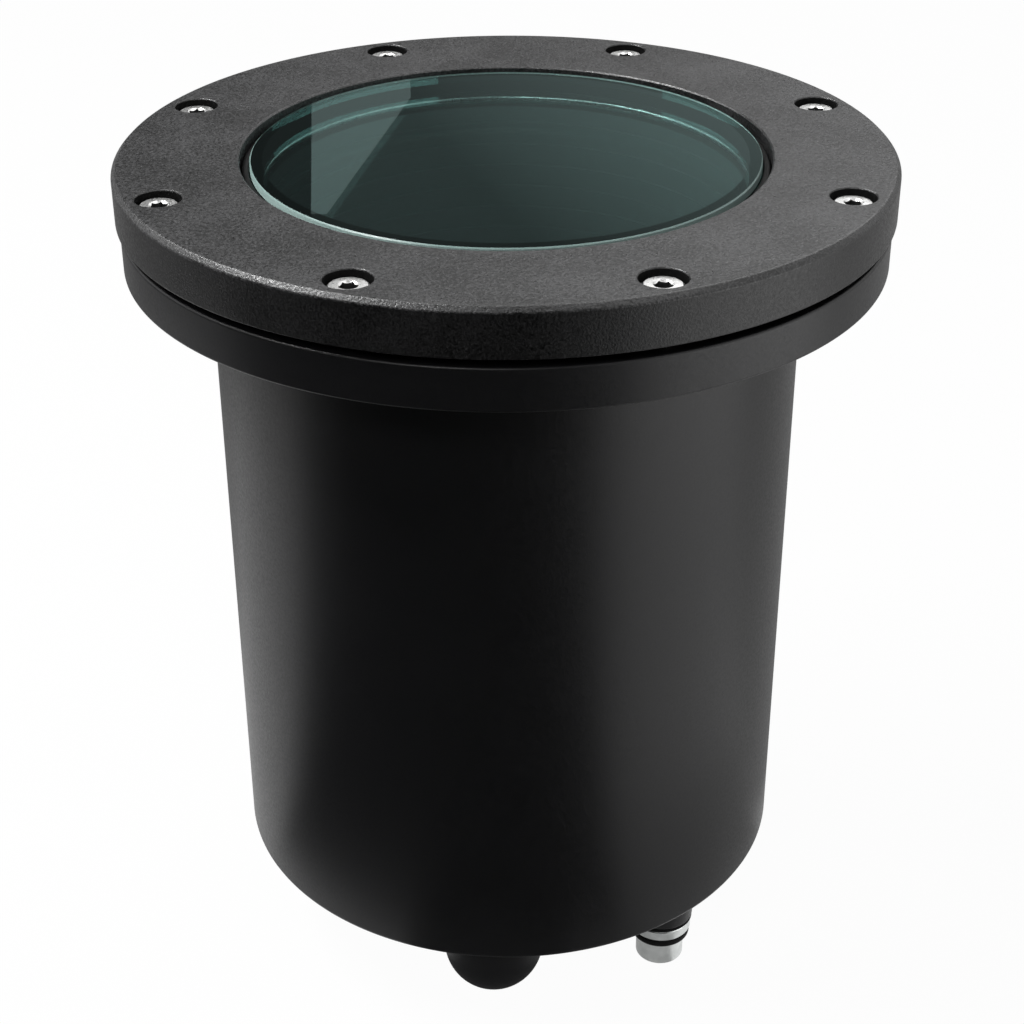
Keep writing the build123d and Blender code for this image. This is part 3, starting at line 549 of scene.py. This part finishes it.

# Finishes that stand on some faces of a piece only. The ring's darker side and pocket coats, the dark
# socket metal and the dimmer rim glass are painted shade.
# Darker copy of the ring's coat for its outer side: painted shade, the same coat made darker where
# less light falls.
side_painted_shade = coat("ring_side_painted_shade", grey(0.002), (0.014, 0.014, 0.0145), (0.28, 0.50),
                 0.50, 0.09, ior=1.43, contrast=(0.38, 0.62))
# Darker coat on the pocket walls: painted shade in the recesses.
pocket_painted_shade = coat("pocket_painted_shade", grey(0.003), grey(0.006), (0.5, 0.7), 0.5, 0.04, ior=1.12)
baffle_rim = metal("bare_rim", (0.85, 0.87, 0.86), (0.70, 0.73, 0.72), (0.22, 0.34), 0.2, 0.002)
# Dark metal inside the hex sockets: painted shade in the recess.
socket_painted_shade = metal("socket_painted_shade", grey(0.12), grey(0.06), (0.4, 0.55), 0.3, 0.01)
# Copy of the glass with a dimmer mirror, for the top band by the rim: painted shade in its
# reflection.
rim_glass_painted_shade = clear_glass("glass_rim_painted_shade", GLASS_TINT, (0.56, 0.76, 0.74), GLASS_DEPTH_TINT,
                        GLASS_DENSITY)
ground_edge = ground_glass("ground_glass_edge", (0.30, 0.43, 0.41), (0.46, 0.60, 0.57))
ground_arris = ground_glass("ground_arris", (0.12, 0.19, 0.18), (0.20, 0.29, 0.27))

# Solids that no piece below stands for show these finishes themselves.
for subpart in frame["record"]["subparts"]:
    for holder in frame["nodes"][subpart["node"]].material_slots:
        holder.link = "OBJECT"
        holder.material = SLOTS[subpart["material_slot"]]


# ---- cover ---------------------------------------------------------------------------------

def cover_ring():
    """Ring with eight counterbored pockets, their rims run over by the coat."""
    body = lathe("ring", rounded([
        (RING_RADIUS, RING_BOTTOM, 0.5),
        (RING_RADIUS, RING_TOP - RING_CHAMFER, 0.9),
        (RING_RADIUS - RING_CHAMFER, RING_TOP, 0.9),
        (OPENING_RADIUS + OPENING_CHAMFER, RING_TOP, 0.2),
        (OPENING_RADIUS, RING_TOP - OPENING_CHAMFER, 0.2),
        (OPENING_RADIUS, GASKET_BACK, 0.1),
        (RECESS_RADIUS, GASKET_BACK, 0.1),
        (RECESS_RADIUS, RING_BOTTOM, 0.3),
    ]))
    over, bend_out, bend_down = 0.05, 0.1, 0.15
    tools = []
    for _, x, y, _ in screw_places():
        tools.append(lathe("pocket", [
            (0, POCKET_FLOOR),
            (POCKET_RADIUS, POCKET_FLOOR),
            (POCKET_RADIUS, RING_TOP - POCKET_LIP),
            (POCKET_RADIUS + bend_out, RING_TOP - bend_down),
            (POCKET_RADIUS + POCKET_LIP, RING_TOP + over),
            (0, RING_TOP + over),
        ], SMALL_SIDES, (x, y), closed=False))
        tools.append(drill("hole", CLEARANCE_RADIUS, RING_BOTTOM - BEYOND,
                           POCKET_FLOOR + BEYOND, (x, y)))
    cut(body, *tools)
    body.name = "ring_casting"
    add(body, "cover", "ring_coat", "cover_ring")

    # The pocket walls take the darker coat: painted shade.
    pocket_wall, pocket_top = POCKET_RADIUS + 0.02, (RING_TOP - 0.3) * MM
    # The ring's outer side takes the darker coat: painted shade.
    side_wall, side_top = RING_RADIUS - 0.5, (RING_TOP - 1.5) * MM

    def choose(face):
        place = Vector(face.center[:2]) / MM
        near = min((place - Vector((x, y))).length for _, x, y, _ in screw_places())
        if near < pocket_wall and face.center.z < pocket_top:
            return pocket_painted_shade
        if place.length > side_wall and face.center.z < side_top:
            return side_painted_shade

    paint(body, [pocket_painted_shade, side_painted_shade], choose)


def lens():
    """Stepped glass; its chamfers are ground, so they catch the light as a pale line."""
    rim, step, bevel, clear = GLASS_RADIUS, GLASS_STEP_RADIUS, GLASS_CHAMFER, BAFFLE_TOP_RADIUS
    ground_from = GLASS_TOP - GROUND_DEPTH
    piece = lathe("stepped_glass", [
        (0, GLASS_BOTTOM),
        (clear, GLASS_BOTTOM),
        (rim - bevel, GLASS_BOTTOM),
        (rim, GLASS_BOTTOM + bevel),
        (rim, GLASS_RIM_TOP - bevel),
        (rim - bevel, GLASS_RIM_TOP),
        (step, GLASS_RIM_TOP),
        (step, ground_from),
        (step, GLASS_TOP - bevel),
        (step - bevel, GLASS_TOP),
        (clear, GLASS_TOP),
        (0, GLASS_TOP),
    ], closed=False)
    add(piece, "cover", "lens_glass", "lens_glass", sharp=20.0)

    upright_wall, level_face, top_from = 0.4, 0.9, (GLASS_TOP - 1) * MM
    rubber = SLOTS["black_rubber"]

    # The top band outside the baffle's rim takes the dimmer glass: painted shade in the reflection.
    def choose(face):
        rise, outside = face.normal.z, reach_of(face) > clear
        if abs(rise) < upright_wall and face.center.z > ground_from * MM:
            return ground_edge
        if upright_wall < abs(rise) < level_face:
            return ground_arris
        if rise < -level_face and outside:
            return rubber
        if rise > level_face and outside and face.center.z > top_from:
            return rim_glass_painted_shade

    paint(piece, [ground_edge, rubber, ground_arris, rim_glass_painted_shade], choose)


def lens_gasket():
    """U-section gasket with a rounded lip up the step of the glass."""
    inner, outer = GASKET_LIP
    piece = lathe("lens_gasket_ring", rounded([
        (BAFFLE_TOP_RADIUS, GASKET_BOTTOM, 0.2),
        (GASKET_RADIUS, GASKET_BOTTOM, 0.5),
        (GASKET_RADIUS, GASKET_BACK, 0.5),
        (outer, GASKET_BACK, 0.2),
        (outer, GASKET_TOP, 0.7),
        (inner, GASKET_TOP, 0.5),
        (inner, GLASS_RIM_TOP, 0.1),
        (GLASS_RADIUS + FIT, GLASS_RIM_TOP, 0.1),
        (GLASS_RADIUS + FIT, GLASS_BOTTOM, 0.1),
        (BAFFLE_TOP_RADIUS, GLASS_BOTTOM, 0.2),
    ]))
    add(piece, "cover", "black_rubber", "lens_gasket")


def cover_screw(number, x, y, turn):
    """Low-head socket screw: turned head, countersunk hex socket and a screwed shank."""
    low, high = POCKET_FLOOR, SCREW_TOP + HEAD_RISE
    head = lathe("head", rounded([
        (SHANK_RADIUS, low, 0),
        (HEAD_RADIUS, low, 0.2),
        (HEAD_RADIUS, high - HEAD_CHAMFER, 0.25),
        (HEAD_RADIUS - HEAD_CHAMFER, high, 0.25),
        (0, high, 0),
        (0, low, 0),
    ])[:-1], FINE_SIDES, closed=False)
    edit(head, lambda shape: bmesh.ops.contextual_create(
        shape, geom=[e for e in shape.edges if e.is_boundary]))
    edit(head, lambda shape: bmesh.ops.recalc_face_normals(shape, faces=shape.faces))
    socket = prism("socket", SOCKET_FLATS, 6, high - SOCKET_DEPTH, high + BEYOND, turn)
    across = SOCKET_FLATS / cos(pi / 6) / 2
    sink, narrow, wide, over = 0.55, 0.35, 0.2, 0.05
    lead = lathe("lead", [
        (0, high - sink), (across - narrow, high - sink), (across + wide, high + over),
        (0, high + over)], SMALL_SIDES, closed=False)
    cut(head, socket, lead)
    overlap = 0.01
    shank = thread("shank", SHANK_RADIUS, THREAD_PITCH, SCREW_BOTTOM, low + overlap)
    piece = join(f"cover_screw_{number}", [head, shank])
    piece.location = (x * MM, y * MM, 0)
    add(piece, "cover", "stainless", "cover_screws", sharp=40.0)

    # Faces inside the socket take the dark metal: painted shade.
    crown = high - 0.3

    def choose(face):
        if low < face.center.z / MM < crown and reach_of(face) < HEAD_RADIUS / 2:
            return socket_painted_shade

    paint(piece, [socket_painted_shade], choose)


# ---- canister ------------------------------------------------------------------------------

def canister():
    """Cast canister: flange, plain wall, ledge for the baffle, base with the gland's boss."""
    body = lathe("can", rounded([
        (0, BASE_BOTTOM, 0),
        (BODY_RADIUS, BASE_BOTTOM, 1.5),
        (BODY_RADIUS, FLANGE_BOTTOM, 3.0),
        (FLANGE_RADIUS, FLANGE_BOTTOM, 0.8),
        (FLANGE_RADIUS, FLANGE_TOP, 0.8),
        (MOUTH_RADIUS, FLANGE_TOP, 0.4),
        (MOUTH_RADIUS, LEDGE, 0.2),
        (BORE_RADIUS, LEDGE, 0.2),
        (BORE_RADIUS, FLOOR, 2.0),
        (0, FLOOR, 0),
    ], steps=5), closed=False)
    boss = lathe("boss", rounded([
        (0, BOSS_BOTTOM, 0),
        (GLAND_BOSS_RADIUS, BOSS_BOTTOM, 0.5),
        (GLAND_BOSS_RADIUS, BASE_BOTTOM + BEYOND, 0),
        (0, BASE_BOTTOM + BEYOND, 0),
    ]), FINE_SIDES, (GLAND_X, GLAND_Y), closed=False)
    cut(body, boss, operation="UNION")
    pillar_circle = BORE_RADIUS + PILLAR_BITE - PILLAR_RADIUS
    cut(body, *(
        lathe("pillar", rounded([
            (0, FLOOR - BEYOND, 0),
            (PILLAR_RADIUS, FLOOR - BEYOND, 0),
            (PILLAR_RADIUS, TRAY_BOTTOM, 0.5),
            (0, TRAY_BOTTOM, 0),
        ]), FINE_SIDES, (x, y), closed=False)
        for _, x, y, _ in around(PILLAR_COUNT, pillar_circle, PILLAR_ANGLE)
    ), operation="UNION")
    hole_end, countersink, over = 0.8, 0.3, 0.1
    holes = [
        lathe("hole", [
            (0, SCREW_BOTTOM - hole_end),
            (CLEARANCE_RADIUS, SCREW_BOTTOM - hole_end),
            (CLEARANCE_RADIUS, FLANGE_TOP - countersink),
            (CLEARANCE_RADIUS + countersink + over, FLANGE_TOP + over),
            (0, FLANGE_TOP + over),
        ], SMALL_SIDES, (x, y), closed=False)
        for _, x, y, _ in screw_places()
    ]
    holes.append(drill("gland_hole", GLAND_THREAD_RADIUS, BOSS_BOTTOM - BEYOND, FLOOR + BEYOND,
                       (GLAND_X, GLAND_Y)))
    cut(body, *holes)
    body.name = "canister_casting"
    add(body, "housing", "body_coat", "canister")


def flange_gasket():
    """Flat seal with rounded edges in the shadow gap."""
    margin = 1.0
    inner = MOUTH_RADIUS + margin
    piece = lathe("flange_seal", rounded([
        (inner, SEAL_BOTTOM, 0.3),
        (SEAL_RADIUS, SEAL_BOTTOM, 0.6),
        (SEAL_RADIUS, SEAL_TOP, 0.6),
        (inner, SEAL_TOP, 0.3),
    ]))
    add(piece, "housing", "black_rubber", "flange_gasket")


def glare_baffle():
    """Stepped cone; its top rim is rounded and bare."""
    drop = (LEDGE - BAFFLE_BOTTOM) / BAFFLE_STEPS
    shrink = (BAFFLE_TOP_RADIUS - BAFFLE_BOTTOM_RADIUS) / BAFFLE_STEPS
    corners = [(BAFFLE_TOP_RADIUS, BAFFLE_TOP, 0.6), (BAFFLE_TOP_RADIUS, BAFFLE_TOP - RIM_BARE, 0)]
    for step in range(BAFFLE_STEPS):
        radius, height = BAFFLE_TOP_RADIUS - step * shrink, LEDGE - step * drop
        corners.append((radius, height, 0.15))
        corners.append((radius + BAFFLE_TOOTH - shrink, height - drop, 0.15))
    corners += [
        (BAFFLE_BOTTOM_RADIUS + BAFFLE_TOOTH + BAFFLE_WALL, BAFFLE_BOTTOM, 0.2),
        (BAFFLE_TOP_RADIUS + BAFFLE_TOOTH + BAFFLE_WALL, LEDGE, 0.3),
        (BAFFLE_RADIUS, LEDGE, 0.2),
        (BAFFLE_RADIUS, BAFFLE_TOP, 0.3),
    ]
    piece = lathe("stepped_baffle", rounded(corners, steps=3))
    add(piece, "housing", "baffle_black", "glare_baffle")

    rim_width = 0.8

    def choose(face):
        inner = reach_of(face) < BAFFLE_TOP_RADIUS + rim_width
        if inner and face.center.z / MM > BAFFLE_TOP - RIM_BARE:
            return baffle_rim

    paint(piece, [baffle_rim], choose)


# ---- gland and feet ------------------------------------------------------------------------

def gland():
    """Washer, flanged body, clamping seal and nut of the cable gland."""
    shoulder, nut_lip, slope = 5.0, 1.4, 0.5
    for name, slot, node, corners in (
        ("gland_sealing_washer", "black_rubber", "gland_washer", [
            (GLAND_THREAD_RADIUS, WASHER_BOTTOM, 0.1),
            (WASHER_RADIUS, WASHER_BOTTOM, 0.5),
            (WASHER_RADIUS, WASHER_TOP, 0.5),
            (GLAND_THREAD_RADIUS, WASHER_TOP, 0.1),
        ]),
        ("gland_flanged_body", "gland_nickel", "gland_body", [
            (GLAND_BORE_RADIUS, GLAND_BOTTOM + shoulder + slope, 0.1),
            (SLEEVE_RADIUS, GLAND_BOTTOM + shoulder, 0.1),
            (SLEEVE_RADIUS, GLAND_BOTTOM, 0.1),
            (GLAND_RADIUS, GLAND_BOTTOM, 0.6),
            (GLAND_RADIUS, WASHER_BOTTOM, 0.6),
            (GLAND_THREAD_RADIUS, WASHER_BOTTOM, 0.1),
            (GLAND_THREAD_RADIUS, GLAND_TOP, 0.4),
            (GLAND_BORE_RADIUS, GLAND_TOP, 0.4),
        ]),
        ("gland_clamping_seal", "black_rubber", "gland_seal", [
            (CABLE_RADIUS, CLAMP_BOTTOM, 0.2),
            (CLAMP_RADIUS, CLAMP_BOTTOM, 0.9),
            (CLAMP_RADIUS, GLAND_BOTTOM, 0.9),
            (SLEEVE_RADIUS, GLAND_BOTTOM, 0.1),
            (SLEEVE_RADIUS, CLAMP_TOP, 0.1),
            (CABLE_RADIUS, CLAMP_TOP, 0.2),
        ]),
        ("gland_clamping_nut", "gland_nickel", "gland_nut", [
            (GLAND_BORE_RADIUS, NUT_BOTTOM, 0.4),
            (NUT_RADIUS, NUT_BOTTOM, 0.7),
            (NUT_RADIUS, NUT_TOP, 0.3),
            (SLEEVE_RADIUS, NUT_TOP, 0.1),
            (SLEEVE_RADIUS, NUT_BOTTOM + nut_lip + slope, 0.1),
            (GLAND_BORE_RADIUS, NUT_BOTTOM + nut_lip, 0.1),
        ]),
    ):
        piece = lathe(name, rounded(corners), FINE_SIDES, (GLAND_X, GLAND_Y))
        add(piece, "housing", slot, node)


def foot(number):
    """Domed foot: half a ball under a short collar."""
    steps, chamfer, gap = 20, 0.6, 0.02
    x, y, radius, bottom, top = size(f"foot_{number}")
    dome = [(radius * sin(a), bottom + radius - radius * cos(a))
            for a in (pi / 2 * n / steps for n in range(steps + 1))]
    piece = lathe(f"domed_foot_{number}", [
        *dome, (radius, top - chamfer), (radius - chamfer, top - gap), (0, top - gap)],
        FINE_SIDES, (x, y), closed=False)
    add(piece, "housing", "foot_rubber", f"foot_{number}")


# ---- lamp head -----------------------------------------------------------------------------

def lamp_parts():
    """Bezel and front lens of the lamp head."""
    cover, bevel, slope = 5.0, 1, 1.6
    bore, opening = LAMP_RADIUS + FIT, LAMP_RADIUS - cover
    bezel = lathe("lamp_bezel_ring", rounded([
        (bore, BEZEL_BOTTOM, 0.2),
        (BEZEL_RADIUS, BEZEL_BOTTOM, 0.3),
        (BEZEL_RADIUS, BEZEL_TOP - bevel, 0.3),
        (BEZEL_RADIUS - bevel, BEZEL_TOP, 0.3),
        (opening + bevel, BEZEL_TOP, 0.3),
        (opening, LAMP_LENS_TOP + slope, 0.3),
        (opening, LAMP_LENS_TOP, 0.05),
        (bore, LAMP_LENS_TOP, 0.05),
    ]), SIDES // 2)
    add(bezel, "lamp_head", "bezel_black", "lamp_bezel")
    front = lathe("lamp_front_lens", rounded([
        (0, LAMP_LENS_BOTTOM, 0),
        (LAMP_RADIUS, LAMP_LENS_BOTTOM, 0.3),
        (LAMP_RADIUS, LAMP_LENS_TOP, 0.3),
        (0, LAMP_LENS_TOP, 0),
    ]), SIDES // 2, closed=False)
    add(front, "lamp_head", "lamp_glass", "lamp_lens")


cover_ring()
lens()
lens_gasket()
for screw in screw_places():
    cover_screw(*screw)
canister()
flange_gasket()
glare_baffle()
gland()
for foot_number in (1, 2, 3):
    foot(foot_number)
lamp_parts()


# ---- studio, in metres ---------------------------------------------------------------------

def direct_rays(tree):
    """A node output: 1 where the camera, a mirror or glass looks, 0 for soft light."""
    path = tree.nodes.new("ShaderNodeLightPath")
    seen = path.outputs["Is Camera Ray"]
    for ray in ("Is Glossy Ray", "Is Transmission Ray"):
        either = tree.nodes.new("ShaderNodeMath")
        either.operation = "MAXIMUM"
        tree.links.new(seen, either.inputs[0])
        tree.links.new(path.outputs[ray], either.inputs[1])
        seen = either.outputs[0]
    return seen


def floor():
    """A wide pale floor, which the camera, metal and glass see as white, with a soft shadow."""
    reach, patch, dark, light, white_share = 12.0, 60.0, grey(0.58), grey(0.62), 0.97
    plane = make_object("floor", [(-reach, -reach, 0), (reach, -reach, 0), (reach, reach, 0),
                                  (-reach, reach, 0)], [[0, 1, 2, 3]])
    finish = Finish("pale_floor")
    paper = finish.node("ShaderNodeBsdfDiffuse", {
        "Color": finish.blend(finish.spread(finish.noise(patch), 0, 1), dark, light)})
    white = finish.node("ShaderNodeEmission", {"Color": (1, 1, 1, 1), "Strength": 1.0})
    share = finish.math("MULTIPLY", direct_rays(finish.tree), white_share)
    plane.data.materials.append(finish.show(finish.mix(share, paper, white)))


def world():
    """White to the camera, metal and glass, and a soft fill for everything else."""
    fill = 0.12
    made = bpy.data.worlds.new("studio")
    bpy.context.scene.world = made
    made.use_nodes = True
    tree = made.node_tree
    background = tree.nodes["Background"]
    background.inputs["Color"].default_value = (1, 1, 1, 1)
    strength = tree.nodes.new("ShaderNodeMapRange")
    strength.inputs["To Min"].default_value = fill
    strength.inputs["To Max"].default_value = 1.0
    tree.links.new(direct_rays(tree), strength.inputs["Value"])
    tree.links.new(strength.outputs["Result"], background.inputs["Strength"])


def softbox(name, place, width, height, power):
    """An area lamp aimed at the light's upper part."""
    data = bpy.data.lights.new(name, "AREA")
    data.shape = "RECTANGLE"
    data.size, data.size_y, data.energy = width, height, power
    lamp = bpy.data.objects.new(name, data)
    bpy.context.scene.collection.objects.link(lamp)
    lamp.location = place
    lamp.rotation_euler = (Vector(AIM) - Vector(place)).to_track_quat("-Z", "Y").to_euler()


def card(name, vertices, faces, level, along=(0, 0, 0), start=0.0):
    """A card that only reflections show; its level rises by 1 for each metre of along, from start."""
    run_length = 4
    plane = make_object(name, vertices, faces)
    finish = Finish(name)
    run = finish.vector("DOT_PRODUCT", finish.place, along).outputs["Value"]
    level = finish.spread(run, level, level + run_length, start, start + run_length)
    light = finish.node("ShaderNodeEmission", {"Strength": level})
    plane.data.materials.append(finish.show(light))
    plane.visible_camera = plane.visible_diffuse = plane.visible_shadow = False


def sweep(name, start, end, profile, level):
    """A card swept round the light, from start to end degrees right of the camera's side."""
    steps = 12
    vertices, faces = [], []
    for step in range(steps + 1):
        turn = radians(start + (end - start) * step / steps)
        vertices += [(radius * sin(turn), -radius * cos(turn), height) for radius, height in profile]
    across = len(profile)
    for step in range(steps):
        for n in range(across - 1):
            first = step * across + n
            faces.append([first, first + 1, first + across + 1, first + across])
    card(name, vertices, faces, level)


def upright(name, behind, corners, level, along=(0, 0, 0), start=0.0):
    """A card behind the light, from its (x, z) corners."""
    vertices = [(x, CARD_BACK + behind, z) for x, z in corners]
    card(name, vertices, [list(range(len(corners)))], level, along, start)


def band(low, high):
    """Corners of a wide card between two heights."""
    return [(-CARD_HALF, low), (CARD_HALF, low), (CARD_HALF, high), (-CARD_HALF, high)]


def camera():
    """Camera at the photograph's angle, in units of the ring's radius from its top centre."""
    lens_pixels, image_pixels, sensor = 2030.05, 1024, 36.0
    elevation, roll, distance = radians(29.7492), radians(-0.1877), 5.1961
    aside, down_by = -0.0150, -0.9313
    forward = Vector((0, cos(elevation), -sin(elevation)))
    right = Vector((1, 0, 0))
    down = Vector((0, -sin(elevation), -cos(elevation)))
    image_right = cos(roll) * right - sin(roll) * down
    image_down = sin(roll) * right + cos(roll) * down
    unit = RING_RADIUS * MM
    place = Vector((0, 0, RING_TOP * MM)) - unit * (
        aside * image_right + down_by * image_down + distance * forward)
    data = bpy.data.cameras.new("camera")
    data.sensor_width = sensor
    data.lens = lens_pixels * sensor / image_pixels
    data.clip_start = 0.01
    made = bpy.data.objects.new("camera", data)
    bpy.context.scene.collection.objects.link(made)
    turn = Matrix((image_right, -image_down, -forward)).transposed()
    made.matrix_world = Matrix.Translation(place) @ turn.to_4x4()
    bpy.context.scene.camera = made


# Lamps: place, width, height, power in watts.
AIM = (0, 0, 0.2)
SOFTBOXES = (
    ("overhead", (0.3, 0.1, 1.45), 1.4, 1.0, 5.0),
    ("key_left", (-0.82, 0.11, 1.35), 0.9, 0.12, 30.0),
    ("front_top", (-0.4, -1.1, 1.15), 0.6, 0.3, 5.0),
)

# Cards round the light: start and end in degrees, (radius, height) profile, level. The dark
# ones keep the white floor out of the body's front, and the low ones lie just over the floor.
SWEEPS = (
    ("front_flag", -80, 33, [(0.106, 0.002), (1.3, 0.002), (1.5, 0.4), (1.5, 2.0), (0.8, 2.5)], 0.0),
    ("foot_flag", -28, 16, [(0.045, 0.0015), (0.106, 0.0015)], 0.12),
    ("gland_card", 16, 42, [(0.05, 0.0015), (0.106, 0.0015)], 0.4),
    ("left_far", -128, -80, [(0.45, 0.002), (1.4, 0.002), (1.5, 0.5)], 0.24),
    ("right_far", 42, 92, [(0.45, 0.002), (1.4, 0.002), (1.5, 0.6)], 2.2),
    ("right_base", 33, 92, [(0.09, 0.002), (0.16, 0.002)], 0.45),
    ("right_card", 92, 178, [(0.10, 0.003), (1.0, 0.003), (1.1, 0.3)], 0.5),
    ("left_card", -178, -128, [(0.02, 0.003), (1.0, 0.003), (1.1, 0.3)], 0.38),
)

# Cards behind the light, which the glass mirrors: distance behind CARD_BACK, (x, z) corners,
# level, and where it changes, the direction it rises along and the start of that rise.
CARD_BACK, CARD_HALF = 1.3, 1.2
CARD_LOW, FIELD_LOW, FIELD_HIGH, STRIP_HIGH, CARD_TOP = 0.02, 0.59, 0.84, 0.92, 1.9
WINDOW_X, WINDOW_Z = -0.1667, 0.40
LEFT_FLAG = [(-CARD_HALF, CARD_LOW), (-0.15, CARD_LOW), (WINDOW_X, WINDOW_Z), (-0.19, 0.80),
             (-0.19, CARD_TOP), (-CARD_HALF, CARD_TOP)]
WINDOW = [(WINDOW_X, WINDOW_Z), (-0.09, WINDOW_Z), (-0.09, 0.642), (-0.172, 0.755), (-0.187, 0.755)]
UPRIGHTS = (
    ("low_card", 0.02, band(CARD_LOW, FIELD_LOW), 0.0),
    ("dark_strip", 0.02, band(FIELD_HIGH, STRIP_HIGH), 0.1),
    ("field_card", 0.02, band(FIELD_LOW, FIELD_HIGH), 0.15, (1.12, 0, -1.0), -0.764),
    ("high_card", 0.02, band(STRIP_HIGH, CARD_TOP), 1.5, (2.0, 0, 0), -0.4),
    ("left_flag", 0.01, LEFT_FLAG, 0.08),
    ("window_card", 0.0, WINDOW, 0.48),
)

floor()
world()
for make, rows in ((softbox, SOFTBOXES), (sweep, SWEEPS), (upright, UPRIGHTS)):
    for row in rows:
        make(*row)
camera()

bpy.context.scene.view_settings.view_transform = "Standard"
